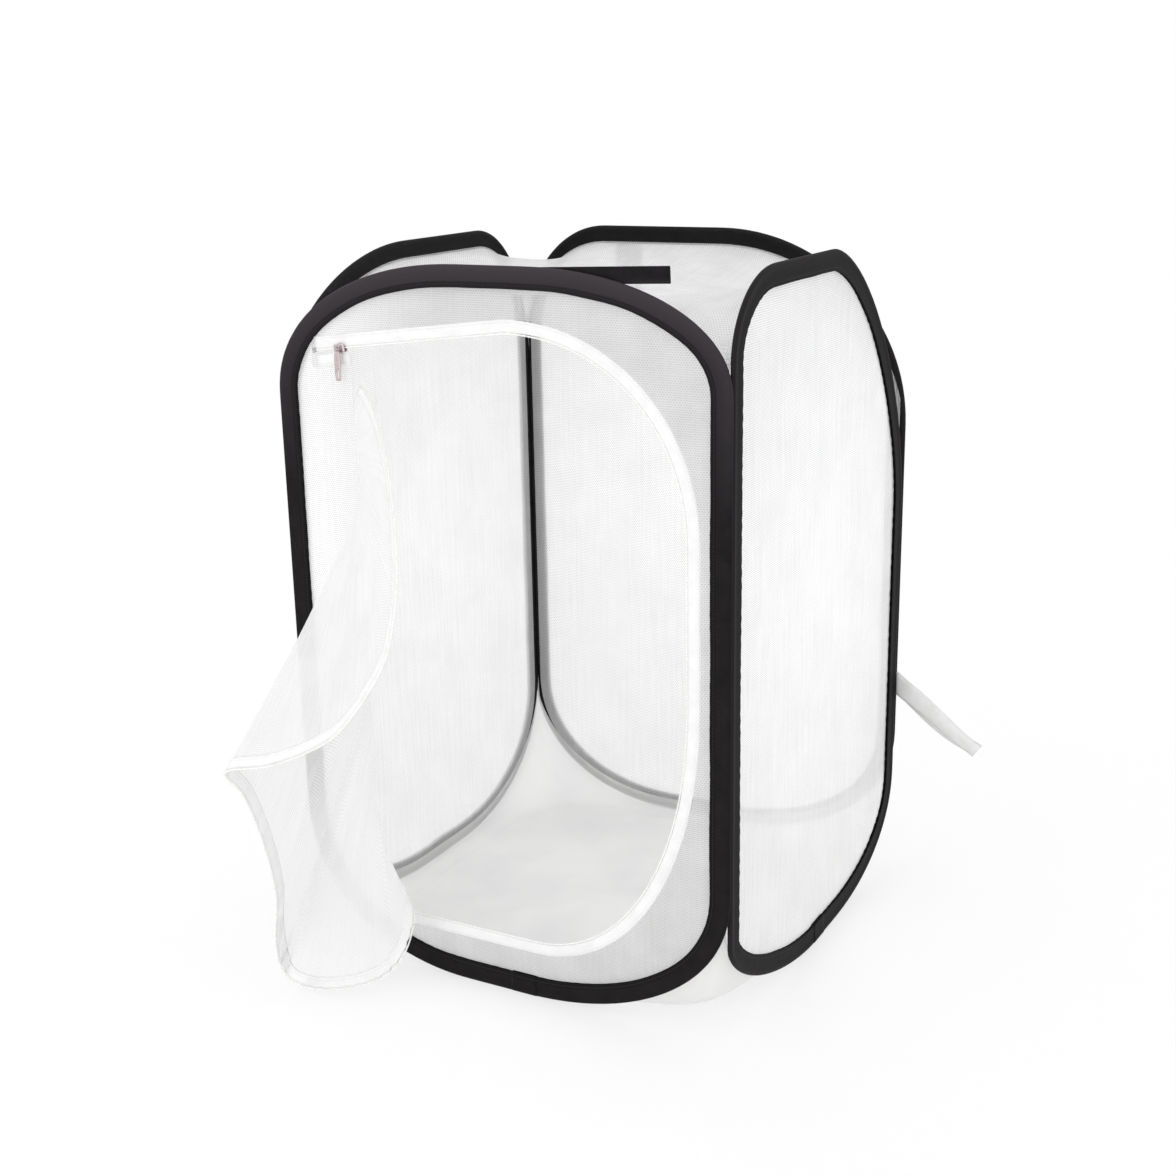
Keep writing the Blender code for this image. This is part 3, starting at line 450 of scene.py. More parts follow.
def layCloth(name, rows, uvs, closedRows=False, closedAcross=False, caps=False):
    # a grid of points made into cloth, its UV in metres; a closed way has one UV row or column more than points
    bm = startCloth()
    grid = [[bm.verts.new(p) for p in row] for row in rows]
    lines, columns = len(rows), len(rows[0])
    for i in range(lines if closedRows else lines - 1):
        for j in range(columns if closedAcross else columns - 1):
            corners = ((i, j), (i + 1, j), (i + 1, j + 1), (i, j + 1))
            addFace(bm, [grid[a % lines][b % columns] for a, b in corners], [uvs[a][b] for a, b in corners])
    if caps:
        bm.faces.new(grid[0])
        bm.faces.new(grid[-1])
    if closedAcross:
        bmesh.ops.recalc_face_normals(bm, faces=bm.faces)
    return finishCloth(name, bm)


def closedUvs(along, section, start=0.0):  # one row of UVs round a section, back to its first point
    return [(along, start + across) for across, _ in [*section, section[0]]]


def paint(obj, material):
    obj.data.materials.clear()
    obj.data.materials.append(material)


def dress(obj, material, body, slot, *stoodFor):  # its material, the body that carries it and the nodes it replaces
    paint(obj, material)
    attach(obj, body)
    if stoodFor:
        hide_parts(*stoodFor)
    return obj


def onlySelect(obj):
    bpy.ops.object.select_all(action="DESELECT")
    obj.select_set(True)
    bpy.context.view_layer.objects.active = obj


def applyModifier(obj, kind, **settings):
    onlySelect(obj)
    added = obj.modifiers.new("finish", kind)
    for key, value in settings.items():
        setattr(added, key, value)
    bpy.ops.object.modifier_apply(modifier=added.name)


# Binding: one folded tape round each hoop, thick over the wire and flat where it is sewn to the net.
# It puckers between stitches, wavers out of its plane and wanders in width, and its ends lap at the foot.
tape = {"width": 0.0175, "wall": 0.0006, "fold": 0.0020, "leg": 0.0013, "wireTo": 0.0034, "taper": 0.0062,
        "groove": 0.0152, "row": 0.0050, "pucker": 0.00022, "puckerPitch": 0.0115, "waver": 0.0004,
        "waverSize": 1 / 9, "wander": 0.00055, "wanderSize": 0.035, "lap": 0.024, "frontLapAt": 0.014,
        "lapThick": 0.0005, "lapLift": 0.0001, "lapRow": 0.002}


def bindingSection():  # how far in from the hoop's edge and out from its plane, round the outside then the inside
    fold, leg, wall, wireTo, groove = (tape[key] for key in ("fold", "leg", "wall", "wireTo", "groove"))
    nose = [(fold - fold * math.cos(a), fold * math.sin(a)) for a in (math.radians(d) for d in range(0, 91, 18))]
    flat = [(wireTo, fold * 0.97), ((wireTo + tape["taper"]) / 2, (fold + leg) / 2), (tape["taper"], leg),
            (0.0098, leg), (groove - 0.0016, leg), (groove - 0.0006, leg * 0.97), (groove, leg * 0.88),
            (groove + 0.0006, leg * 0.97), (groove + 0.0016, leg), (tape["width"] - 0.0001, leg - 0.0001)]
    lining = [(tape["width"], leg - wall), (tape["taper"], leg - wall), (wireTo, fold - wall),
              (wall, fold - wall * 2)]
    half = nose + flat + lining
    return half + [(a, -b) for a, b in reversed(half) if b != 0]


def bindLap(side):  # where the tape's two ends overlap at the foot of the hoop
    middle = tape["frontLapAt"] if side == "front" else 0.0
    count = round(tape["lap"] / tape["lapRow"])
    rows, uvs = [], []
    section = bindingSection()
    for step in range(count + 1):
        u = middle + tape["lap"] * (step / count - 0.5)
        swell = tape["lapThick"] * (0.55 if step in (0, count) else 1.0)  # its two ends are pressed flat
        rows.append([stand(side, u, tape["lapLift"] + across, out + math.copysign(swell, out) if out else out)
                     for across, out in section])
        uvs.append(closedUvs(u, section))
    return layCloth(side + "BindingLap", rows, uvs, closedAcross=True, caps=True)


def bindHoop(side):
    hoop = hoops[side]
    section = bindingSection()
    line, run, total = evenly(hoopOutline(hoop["half"], hoop["corners"], 0.0), tape["row"], True)
    waves = round(total / tape["puckerPitch"])
    rows, uvs = [], []
    for index, (point, along) in enumerate(zip(line, run)):
        inwards = leftOf(line, index, True)
        puckerAt = math.sin(2 * math.pi * waves * along / total)
        sway = tape["waver"] * noise.noise((*(point / tape["waverSize"]), hoop["plane"] * 40))
        wider = tape["wander"] * (noise.noise((*(point / tape["wanderSize"]), hoop["plane"] * 70)) - 0.5)
        row = []
        for across, out in section:
            share = min(1.0, across / tape["width"])
            puff = tape["pucker"] * puckerAt * share * share * (1 if out > 0 else -1)
            flat = point + inwards * (across + wider * share * share)
            row.append(stand(side, flat.x, flat.y, out + puff + sway * share))
        rows.append(row)
        uvs.append(closedUvs(along, section))
    uvs.append(closedUvs(total, section))
    return layCloth(side + "Binding", rows, uvs, closedRows=True, closedAcross=True)


for side in hoops:
    cloth = frontCloth if side == "front" else binding
    dress(bindHoop(side), cloth, side, "binding_tape", side + "_binding_tape")
    dress(bindLap(side), cloth, side, "binding_tape")
    paint(nodes[side + "_wire"], springSteel)  # the wire inside is the frame's own
    paint(nodes[side + "_wire_ferrule"], zincCrimp)
print("hoops bound")


# Door: the zip runs from the end of its slit at the top left, round the right and back to the hinge's foot
wide, tall = hoops["front"]["half"] * 2, halfHeight * 2
door = {"hinge": -0.32 * wide, "right": 0.41 * wide, "bottom": tall / 12, "drop": 0.34, "slit": 0.0825 * wide,
        "topCorner": (0.375 * wide, 0.25 * tall), "lowCorner": (0.35 * wide, 0.38 * tall), "cornerSteps": 28,
        "roundness": 2.1}
door["top"] = tall - door["bottom"]
door["topLeft"] = door["top"] - door["drop"] * door["bottom"]
doorWidth, doorHeight = door["right"] - door["hinge"], door["top"] - door["bottom"]
zipper = {"inner": 0.0011, "tape": 0.0095, "thick": 0.0010, "coil": 0.0008, "slitTape": 0.0042, "gap": 0.0003,
          "stop": 0.0030, "pitch": 0.0011}
zipOuter = zipper["inner"] + zipper["tape"]


def zipLine():  # its points on the panel, and how steeply its top run climbs
    (topU, topV), (lowU, lowV) = door["topCorner"], door["lowCorner"]
    topStart = door["right"] - topU
    slope = (door["top"] - door["topLeft"]) / (topStart - door["hinge"])
    path = [(door["hinge"] - door["slit"], door["topLeft"] - slope * door["slit"])]
    for step in range(door["cornerSteps"] + 1):
        du, dv = roundCorner(topU, topV, (1 - step / door["cornerSteps"]) * math.pi / 2, door["roundness"])
        path.append((topStart + du, door["top"] - topV + dv))
    for step in range(door["cornerSteps"] + 1):
        du, dv = roundCorner(lowU, lowV, -step / door["cornerSteps"] * math.pi / 2, door["roundness"])
        path.append((door["right"] - lowU + du, door["bottom"] + lowV + dv))
    path.append((door["hinge"] + zipper["stop"] + 2 * zipper["gap"], door["bottom"]))
    return path, math.atan(slope)


zipPath, zipSlope = zipLine()


def beside(path, distance):  # the line moved to its left
    line = [Vector(p) for p in path]
    return [p + leftOf(line, i, False) * distance for i, p in enumerate(line)]


def inside(points, u, v):  # whether a point lies in a closed outline
    found = False
    for a, b in zip(points, [*points[1:], points[0]]):
        if (a[1] > v) != (b[1] > v) and u < (b[0] - a[0]) * (v - a[1]) / (b[1] - a[1]) + a[0]:
            found = not found
    return found


def distanceTo(points, u, v):
    a = np.array([tuple(p) for p in points])
    b = np.roll(a, -1, axis=0)
    along = b - a
    length = np.maximum((along ** 2).sum(axis=1), 1e-12)
    t = np.clip((((u, v) - a) * along).sum(axis=1) / length, 0, 1)
    return float(np.sqrt((((u, v) - a - along * t[:, None]) ** 2).sum(axis=1)).min())


# Net panels: sewn to the inner side of the tape and stretched, with shallow waves that die out at the sewn edges.
# Above the top cloth the net is left out, so that the tape's black inner side shows there.
panel = {"inset": 0.0068, "cell": 0.0085, "wave": 0.0016, "waveSize": 0.065, "fade": 0.045, "lining": 0.0021,
         "liningTo": 0.0114, "flatFrom": 0.0180, "bareTop": 0.0150}


def netPanel(side, hole=None):
    hoop = hoops[side]
    turn = side in ("back", "left")
    inwards = 1 if turn else -1
    outline = hoopOutline(hoop["half"], hoop["corners"], panel["inset"])
    edge, _, _ = evenly(outline, panel["cell"], True)
    lowered = [(u, min(v, rimHeight(hoop["half"], hoop["corners"], u, True) - panel["bareTop"])) for u, v in outline]
    rim, _, _ = evenly(lowered, panel["cell"], True)
    sewn, _, _ = evenly(hoopOutline(hoop["half"], hoop["corners"], panel["inset"] + panel["liningTo"]),
                        panel["cell"], True)
    loops = [rim]
    if hole:
        loops.append(evenly(hole, panel["cell"] / 2, True)[0])
    points, edges = [], []
    for loop in loops:
        first = len(points)
        points += [Vector((p.x, p.y)) for p in loop]
        edges += [(first + i, first + (i + 1) % len(loop)) for i in range(len(loop))]
    for i in range(int(2 * hoop["half"] / panel["cell"])):
        for j in range(int(tall / panel["cell"])):
            u, v = (i + 0.5) * panel["cell"] - hoop["half"], (j + 0.5) * panel["cell"]
            near = min(distanceTo(loop, u, v) for loop in (*loops, sewn))
            if near > panel["cell"] * 0.4 and inside(rim, u, v) and not (hole and inside(loops[1], u, v)):
                points.append(Vector((u, v)))
    points += [Vector((p.x, p.y)) for p in sewn]
    verts, _, faces, *_ = delaunay_2d_cdt(points, edges, [], 0, 1e-7)
    bm = startCloth()
    made = []
    for p in verts:
        fade = min(1.0, min(distanceTo(loop, p.x, p.y) for loop in loops) / panel["fade"])
        at = (p.x / panel["waveSize"], p.y / panel["waveSize"], hoop["plane"] * 30)
        lining = np.interp(distanceTo(edge, p.x, p.y), (panel["liningTo"], panel["flatFrom"]), (panel["lining"], 0))
        out = panel["wave"] * noise.noise(at) * fade + lining * inwards
        made.append(bm.verts.new(stand(side, p.x, p.y, out)))
    for face in faces:
        middle = sum((verts[i] for i in face), Vector((0, 0))) / 3
        if inside(rim, middle.x, middle.y) and not (hole and inside(loops[1], middle.x, middle.y)):
            order = face[::-1] if turn else face
            addFace(bm, [made[i] for i in order], [verts[i] for i in order])
    for vert in [v for v in bm.verts if not v.link_faces]:
        bm.verts.remove(vert)
    return finishCloth(side + "Net", bm)


def doorHole():  # the door, the zip's tape and the slit that stays zipped
    outer = beside(zipPath, zipOuter + zipper["gap"])
    slitEnd = zipper["stop"] + 3 * zipper["gap"]
    startU = outer[0].x - slitEnd
    rise = math.tan(zipSlope) * slitEnd
    below = zipper["slitTape"] + zipper["tape"] + zipper["gap"]
    return [Vector((startU, outer[0].y - rise)), *outer, Vector((door["hinge"], outer[-1].y)),
            Vector((door["hinge"], door["topLeft"] - below)), Vector((startU, zipPath[0][1] - rise - below))]


for side in hoops:
    cloth = dress(netPanel(side, doorHole() if side == "front" else None), shadedFrontNet if side == "front" else net, side,
                  "mesh_net", side + "_mesh_panel")
print("net panels laid")


# Top and floor cloths: held along the four rims, corners running down or up to where the hoops meet.
# Each is cut from corner to corner, because half stays with the front and half with the back when the cage folds.
sheets = {"edge": 0.0047, "topDrop": 0.0165, "floorRise": 0.0120, "topLoad": 1.0, "floorLoad": 60.0, "cells": 60,
          "rounds": 9000, "thin": 0.0008, "topWave": 0.0022, "floorWave": 0.0007, "waveSize": 0.055,
          "fadeCells": 7}


def settledHeights(top):  # the cloth's places along a side, and how high it comes to rest between its rims
    n = sheets["cells"]
    turns = np.sin(np.pi * (np.arange(n + 1) / n - 0.5))
    x = turns * (hoops["front"]["half"] - sheets["edge"])
    z = np.full((n + 1, n + 1), tall - sheets["topDrop"] if top else sheets["thin"] / 2)
    shift = -sheets["topDrop"] if top else sheets["floorRise"]
    rims = {side: [rimHeight(h["half"], h["corners"], u, top) + shift for u in x] for side, h in hoops.items()}
    z[:, 0], z[:, -1], z[0, :], z[-1, :] = rims["front"], rims["back"], rims["left"], rims["right"]
    pick = min if top else max
    for i, j, one, other in ((0, 0, "front", "left"), (-1, 0, "front", "right"), (0, -1, "back", "left"),
                             (-1, -1, "back", "right")):
        z[i, j] = pick(rims[one][i], rims[other][j])
    near = np.diff(x)
    a, b, c, d = near[:-1, None], near[1:, None], near[None, :-1], near[None, 1:]
    weight = 1 / (a * b) + 1 / (c * d)
    load = sheets["topLoad"] if top else sheets["floorLoad"]
    for _ in range(sheets["rounds"]):
        along = (z[:-2, 1:-1] / a + z[2:, 1:-1] / b) / (a + b)
        across = (z[1:-1, :-2] / c + z[1:-1, 2:] / d) / (c + d)
        z[1:-1, 1:-1] = np.maximum((along + across - load / 2) / weight, sheets["thin"] / 2)
    return x, z


def halfSheet(name, x, z, top, frontHalf):
    n = len(x) - 1
    bm = startCloth()
    grid = {}
    for i in range(n + 1):
        for j in range(n + 1):
            if i >= j if frontHalf else i <= j:
                fade = min(1.0, min(i, j, n - i, n - j) / sheets["fadeCells"])
                at = (x[i] / sheets["waveSize"], x[j] / sheets["waveSize"], 3.0 if top else 8.0)
                lift = (sheets["topWave"] if top else sheets["floorWave"]) * noise.noise(at) * fade
                height = z[i, j] + (lift if top else abs(lift))
                grid[i, j] = bm.verts.new((x[i], x[j], height))
    for i in range(n):
        for j in range(n):
            square = ((i, j), (i + 1, j), (i + 1, j + 1), (i, j + 1))
            spots = [spot for spot in square if spot in grid]  # a triangle of it along the cut
            if len(spots) > 2:
                spots = spots if top else spots[::-1]
                addFace(bm, [grid[spot] for spot in spots], [(x[a], x[b]) for a, b in spots])
    return finishCloth(name, bm)


for top, node, material, slotName in ((True, "top_sheet", topNet, "mesh_net"),
                                      (False, "floor_sheet", floorCloth, "floor_cloth")):
    x, z = settledHeights(top)
    for frontHalf, body, joint, sideY in ((True, "front", "right_fold", x[0]), (False, "back", "back_fold", x[-1])):
        name = ("top" if top else "floor") + ("FrontHalf" if frontHalf else "BackHalf")
        half = halfSheet(name, x, z, top, frontHalf)
        dress(half, material, body, slotName, node)
        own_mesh(half)
print("top and floor laid")


# Open door: it hangs from its uncut side, and its zipped edge falls forward to a rounded foot.
# Each point of that edge: right of the hinge, out in front, and up, as shares of the door's width and height.
flap = {"rows": 190, "columns": 44, "first": 0.035, "last": 0.985, "hingeLow": 0.024, "hingeHigh": 0.924,
        "leastSlant": 0.35, "softGap": 0.0006, "clothGap": 0.0007, "rolled": 0.0018, "seamLap": 0.0008,
        "turn": -49}  # the way the open door points, in degrees, seen from above
flapEdge = (
    (0.000, 0.000, 0.926), (0.145, 0.130, 0.908), (0.280, 0.270, 0.870), (0.415, 0.425, 0.794),
    (0.500, 0.545, 0.702), (0.516, 0.615, 0.616), (0.472, 0.642, 0.554), (0.383, 0.650, 0.488),
    (0.280, 0.642, 0.446), (0.130, 0.622, 0.404), (-0.030, 0.598, 0.372), (-0.048, 0.512, 0.310),
    (-0.065, 0.428, 0.204), (-0.096, 0.360, 0.094), (-0.140, 0.325, 0.000), (-0.140, 0.298, -0.068),
    (-0.062, 0.284, -0.088), (0.048, 0.260, -0.080), (0.137, 0.212, -0.062), (0.182, 0.172, -0.032),
    (0.188, 0.120, 0.004), (0.150, 0.062, 0.030), (0.000, 0.006, 0.024),
)
flapRows = ((0.00, 1.00), (0.08, 0.87), (0.54, 0.75), (0.85, 0.28), (1.00, 0.00))  # along the edge, up the hinge
# Folds of the slack cloth: how many, how deep in metres, their shift, where along the edge they start and stop
flapFolds = ((5.0, 0.0040, 0.0, 0.0, 1.0), (13.0, 0.0024, 0.8, 0.30, 0.98), (23.0, 0.0015, 2.1, 0.50, 1.0))
pleats = {"depth": 0.0019, "pitch": 0.0085, "from": 0.68, "to": 0.98, "reach": 0.040}  # gathers behind the zip tape


def smoothLine(points, steps):  # a smooth curve through the points, and the lengths along it
    points = [Vector(p) for p in points]
    padded = [2 * points[0] - points[1], *points, 2 * points[-1] - points[-2]]
    made = []
    for index in range(len(points) - 1):
        p0, p1, p2, p3 = padded[index:index + 4]
        for t in (s / steps for s in range(steps)):
            made.append(0.5 * (2 * p1 + (p2 - p0) * t + (2 * p0 - 5 * p1 + 4 * p2 - p3) * t ** 2
                               + (3 * p1 - p0 - 3 * p2 + p3) * t ** 3))
    made.append(points[-1])
    lengths = [0.0]
    for a, b in zip(made, made[1:]):
        lengths.append(lengths[-1] + (b - a).length)
    return made, lengths


def doorRows():  # for each line from hinge to zip: its share of the edge, its ends, its slant, its place on the zip
    plane = hoops["front"]["plane"]
    edge = [(door["hinge"] + x * doorWidth, plane - y * doorWidth, door["bottom"] + up * doorHeight)
            for x, y, up in flapEdge]
    made, lengths = smoothLine(edge, 12)
    rows = []
    for index in range(flap["rows"] + 1):
        share = flap["first"] + (flap["last"] - flap["first"]) * index / flap["rows"]
        spot = float(np.interp(share * lengths[-1], lengths, range(len(made))))
        low = min(int(spot), len(made) - 2)
        zipped = made[low].lerp(made[low + 1], spot - low)
        up = float(np.interp(share, *zip(*flapRows)))
        height = door["bottom"] + doorHeight * (flap["hingeLow"] + (flap["hingeHigh"] - flap["hingeLow"]) * up)
        hinge = Vector((door["hinge"] + flap["clothGap"], plane, height))
        way, run = (zipped - hinge).normalized(), (made[low + 1] - made[low]).normalized()
        slant = max(way.cross(run).length, flap["leastSlant"])
        rows.append((share, hinge, zipped, slant, share * lengths[-1]))
    return rows


def flapPoint(row, along):  # along runs from the uncut side at 0 to the zipped edge at 1
    share, hinge, zipped, slant, run = row
    way = zipped - hinge
    point = hinge.lerp(zipped, along)
    across = way.cross(Vector((0, 0, 1)))
    if across.length == 0:
        return point
    across.normalize()
    size = 0.0
    for count, depth, phase, start, stop in flapFolds:
        window = 1.0 if start <= 0 else math.sin(math.pi * min(1, max(0, (share - start) / (stop - start)))) ** 0.5
        size += depth * window * math.sin(count * 2 * math.pi * share + phase)
    size *= min(1.0, way.length / (doorWidth / 2)) * math.sin(math.pi * along) ** 2
    if pleats["from"] < share < pleats["to"]:
        window = math.sin(math.pi * (share - pleats["from"]) / (pleats["to"] - pleats["from"]))
        near = max(0.0, 1 - (1 - along) * way.length / pleats["reach"])
        size += pleats["depth"] * window * near * math.sin(2 * math.pi * run / pleats["pitch"])
    return point + across * size


def flapStrip(name, rows, start, end, columns):  # from one distance in from the zipped edge out to another
    grid, uvs = [], []
    for row in rows:
        length = (row[2] - row[1]).length
        low = max(0.0, 1 - start / row[3] / length) if start else 0.0
        high = 1 - end / row[3] / length
        shares = [low + (high - low) * step / columns for step in range(columns + 1)]
        grid.append([flapPoint(row, s) for s in shares])
        uvs.append([(row[4], length * (1 - s) * row[3]) for s in shares])
    return layCloth(name, grid, uvs)


def tubeAlong(name, points, radius, sides):  # radius may change from ring to ring
    rows, uvs = [], []
    up = Vector((0.13, 0.31, 0.94))  # any way that none of the lines starts along
    run = 0.0
    for index, point in enumerate(points):
        before, after = points[max(index - 1, 0)], points[min(index + 1, len(points) - 1)]
        way = (after - before).normalized()
        side = way.cross(up).normalized()
        up = side.cross(way).normalized()
        run += (point - points[max(index - 1, 0)]).length
        size = radius(index)
        angles = [2 * math.pi * s / sides for s in range(sides)]
        rows.append([point + (side * math.cos(a) + up * math.sin(a)) * size for a in angles])
        uvs.append([(run, size * a) for a in [*angles, 2 * math.pi]])
    return layCloth(name, rows, uvs, closedAcross=True, caps=True)


def coilAlong(name, points):  # a wound filament shows as beads half a pitch apart
    spaced, _, _ = evenly(points, zipper["pitch"] / 2, False)
    return tubeAlong(name, spaced, lambda i: zipper["coil"] * (0.98 if i % 2 else 0.66), 7)


rows = doorRows()
doorCloth = dress(flapStrip("doorCloth", rows, None, zipOuter - flap["seamLap"], flap["columns"]), doorNet, "door",
                  "mesh_net", "door_flap")
doorTape = flapStrip("doorZipTape", rows, zipOuter, zipper["coil"] + flap["softGap"], 5)
applyModifier(doorTape, "SOLIDIFY", thickness=flap["rolled"], offset=0.0)
dress(doorTape, zipCloth, "door", "zip_tape", "door_zip_tape")
doorCoil = dress(coilAlong("doorCoil", [row[2] for row in rows]), coilPlastic, "door", "zip_coil", "door_zip_coil")
for piece in (doorCloth, doorTape, doorCoil):
    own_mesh(piece)
print("door hung")


# Zip on the front panel
def flatBand(name, line):  # zip tape in the panel's plane, to the left of its line
    width, half = zipper["tape"], zipper["thick"] / 2
    section = [(0.0, 0.0), (0.0003, half * 0.9), (0.0010, half), (width * 0.25, half * 0.92), (width * 0.5, half),
               (width * 0.75, half * 0.92), (width - 0.0010, half), (width - 0.0003, half * 0.9), (width, 0.0)]
    section += [(a, -b) for a, b in reversed(section[1:-1])]
    points, run, _ = evenly(line, 0.004, False)
    rows, uvs = [], []
    for index, (point, along) in enumerate(zip(points, run)):
        normal = leftOf(points, index, False)
        rows.append([stand("front", *(point + normal * across), out) for across, out in section])
        uvs.append(closedUvs(along, section))
    return layCloth(name, rows, uvs, closedAcross=True, caps=True)


slitTop = [Vector((u, door["topLeft"] - zipper["slitTape"] + (u - door["hinge"]) * math.tan(zipSlope)))
           for u in (door["hinge"], door["hinge"] - door["slit"])]
dress(flatBand("frontZipTape", beside(zipPath, zipper["inner"])), zipCloth, "front", "zip_tape", "front_zip_tape")
dress(flatBand("slitZipTape", slitTop), zipCloth, "front", "zip_tape", "zip_slit_tape")
dress(coilAlong("frontCoil", [stand("front", u, v, 0) for u, v in zipPath]), coilPlastic, "front", "zip_coil",
      "front_zip_coil")


# Corner seams: neighbouring hoops whipped together with thick thread, each stitch a swelling of four rings
seam = {"radius": 0.0013, "stitch": 0.0036, "swelling": (0.80, 0.93, 1.0, 0.93), "sides": 8}


def whipSeam(name, node):
    low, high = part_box(node)
    middle, rings = (low + high) / 2, len(seam["swelling"])
    count = round((high.z - low.z) / (seam["stitch"] / rings))
    points = [Vector((middle.x, middle.y, low.z + (high.z - low.z) * i / count)) for i in range(count + 1)]
    return tubeAlong(name, points, lambda i: seam["radius"] * seam["swelling"][i % rings], seam["sides"])


for node, body in (("front_right_seam", "front"), ("front_left_seam", "front"), ("back_right_seam", "right"),
                   ("back_left_seam", "back")):
    parts = node.split("_")
    dress(whipSeam(parts[0] + parts[1].title() + "Seam", node), binding, body, "binding_tape", node)
print("zip and seams sewn")


# Slider: two cheeks round the coil, a post between them and an arched bail
slider = {"length": 0.0100, "width": 0.0076, "plate": 0.0009, "gap": 0.0004, "post": 0.0022, "bailWire": 0.0005,
          "bailSpan": 0.0052, "bailHeight": 0.0028, "tail": 0.74, "nose": 0.86, "softEdge": 0.0003,
          "at": -0.3425 * wide}
sliderZ = door["topLeft"] + (slider["at"] - door["hinge"]) * math.tan(zipSlope)
sliderPlace = (Matrix.Translation((slider["at"], hoops["front"]["plane"], sliderZ))
               @ Matrix.Rotation(math.pi / 2, 4, "X")
               @ Matrix.Rotation(zipSlope, 4, "Z"))  # its x runs along the zip, its z out of the panel


def newBox(name, size, middle):
    bpy.ops.object.select_all(action="DESELECT")
    bpy.ops.mesh.primitive_cube_add(size=1, location=middle)
    obj = bpy.context.object
    obj.name = name
    obj.scale = size
    bpy.ops.object.transform_apply(location=True, rotation=True, scale=True)
    return obj


def pickVerts(obj, test):  # selects the vertices whose place passes the test, in edit mode
    bpy.ops.object.mode_set(mode="OBJECT")
    for part in (obj.data.polygons, obj.data.edges):
        part.foreach_set("select", [False] * len(part))
    for vert in obj.data.vertices:
        vert.select = test(vert.co)
    bpy.ops.object.mode_set(mode="EDIT")
    bpy.ops.mesh.select_mode(type="VERT")


def subdivideAll(cuts):
    bpy.ops.object.mode_set(mode="EDIT")
    bpy.ops.mesh.select_all(action="SELECT")
    bpy.ops.mesh.subdivide(number_cuts=cuts)


def softenEdges(obj, width, segments):
    applyModifier(obj, "BEVEL", width=width, segments=segments, limit_method="ANGLE", angle_limit=math.radians(40))


def sliderCheek(out):
    cheek = newBox("cheek", (slider["length"], slider["width"], slider["plate"]), (0, 0, out))
    subdivideAll(3)
    pickVerts(cheek, lambda p: p.x < -slider["length"] * 0.2)
    bpy.ops.transform.resize(value=(1, slider["tail"], 1), center_override=(0, 0, out))
    pickVerts(cheek, lambda p: p.x > slider["length"] * 0.4)
    bpy.ops.transform.resize(value=(1, slider["nose"], 1), center_override=(0, 0, out))
    bpy.ops.object.mode_set(mode="OBJECT")
    softenEdges(cheek, slider["softEdge"], 3)
    return cheek


def settle(obj, place):  # its final place goes into its mesh
    obj.data.transform(place)
    bpy.ops.object.shade_smooth_by_angle(angle=math.radians(35))
    return obj


def joinAll(name, pieces, place):
    bpy.ops.object.select_all(action="DESELECT")
    for piece in pieces:
        piece.select_set(True)
    bpy.context.view_layer.objects.active = pieces[0]
    bpy.ops.object.join()
    bpy.context.object.name = name
    return settle(bpy.context.object, place)


plateIn = zipper["coil"] + slider["gap"]
plateOut = plateIn + slider["plate"]
cheeks = [sliderCheek(way * (plateIn + plateOut) / 2) for way in (1, -1)]
post = newBox("post", (slider["length"] / 2, slider["post"], plateIn * 2 + slider["plate"]),
              (0, -slider["width"] / 2 + slider["post"] / 2 + slider["softEdge"], 0))
applyModifier(post, "BEVEL", width=slider["softEdge"], segments=2)
bpy.ops.object.select_all(action="DESELECT")  # the bail starts as a round foot, spun over to the other side
bpy.ops.mesh.primitive_circle_add(vertices=12, radius=slider["bailWire"],
                                  location=(slider["bailSpan"] / 2, 0, plateOut - slider["plate"] / 2))
bail = bpy.context.object
bpy.ops.object.transform_apply(location=True, rotation=True, scale=True)
bpy.ops.object.mode_set(mode="EDIT")
bpy.ops.mesh.select_all(action="SELECT")
straight = slider["bailHeight"] - slider["bailSpan"] / 2
leg = slider["plate"] / 2 + straight
bpy.ops.mesh.extrude_region_move(TRANSFORM_OT_translate={"value": (0, 0, leg)})
bpy.ops.mesh.spin(steps=16, angle=-math.pi, center=(0, 0, plateOut + straight), axis=(0, 1, 0))
bpy.ops.mesh.extrude_region_move(TRANSFORM_OT_translate={"value": (0, 0, -leg)})
bpy.ops.mesh.select_all(action="SELECT")
bpy.ops.mesh.normals_make_consistent(inside=False)
bpy.ops.object.mode_set(mode="OBJECT")
dress(joinAll("sliderBody", [*cheeks, post, bail], sliderPlace), nickel, "slider", "nickel", "zip_slider")


# Pull: a ring on the bail, then a flat tab that widens to a round end with a slot
pull = {"ring": 0.0016, "ringWire": 0.0005, "width": 0.0056, "thick": 0.0010, "length": 0.0240,
        "neck": ((0.10, 0.62), (0.27, 0.9)), "end": ((0.94, 0.72), (0.80, 0.95)), "softEdge": 0.00022,
        "slotWide": 0.0020, "slotLong": 0.0058}  # neck and end: where along the tab it narrows, and to what share
ringDrop = pull["ring"] - pull["ringWire"] - slider["bailWire"] - zipper["gap"]
pullPlace = sliderPlace @ Matrix.Translation((0, 0, plateOut + slider["bailHeight"]))
pullPlace = pullPlace @ Matrix.Rotation(-zipSlope, 4, "Z") @ Matrix.Translation((0, -ringDrop, 0))
bpy.ops.object.select_all(action="DESELECT")
bpy.ops.mesh.primitive_torus_add(major_radius=pull["ring"], minor_radius=pull["ringWire"], major_segments=28,
                                 minor_segments=10, rotation=(0, math.pi / 2, 0))
ring = bpy.context.object
bpy.ops.object.transform_apply(location=True, rotation=True, scale=True)
tabTop = -pull["ring"] + pull["ringWire"] * 0.5
tab = newBox("tab", (pull["width"], pull["length"], pull["thick"]), (0, tabTop - pull["length"] / 2, 0))
subdivideAll(5)
for reach, share in (*pull["neck"], *pull["end"]):
    upper = reach < 0.5
    pickVerts(tab, lambda p: (p.y > tabTop - pull["length"] * reach) == upper)
    bpy.ops.transform.resize(value=(share, 1, 1), center_override=(0, 0, 0))
bpy.ops.object.mode_set(mode="OBJECT")
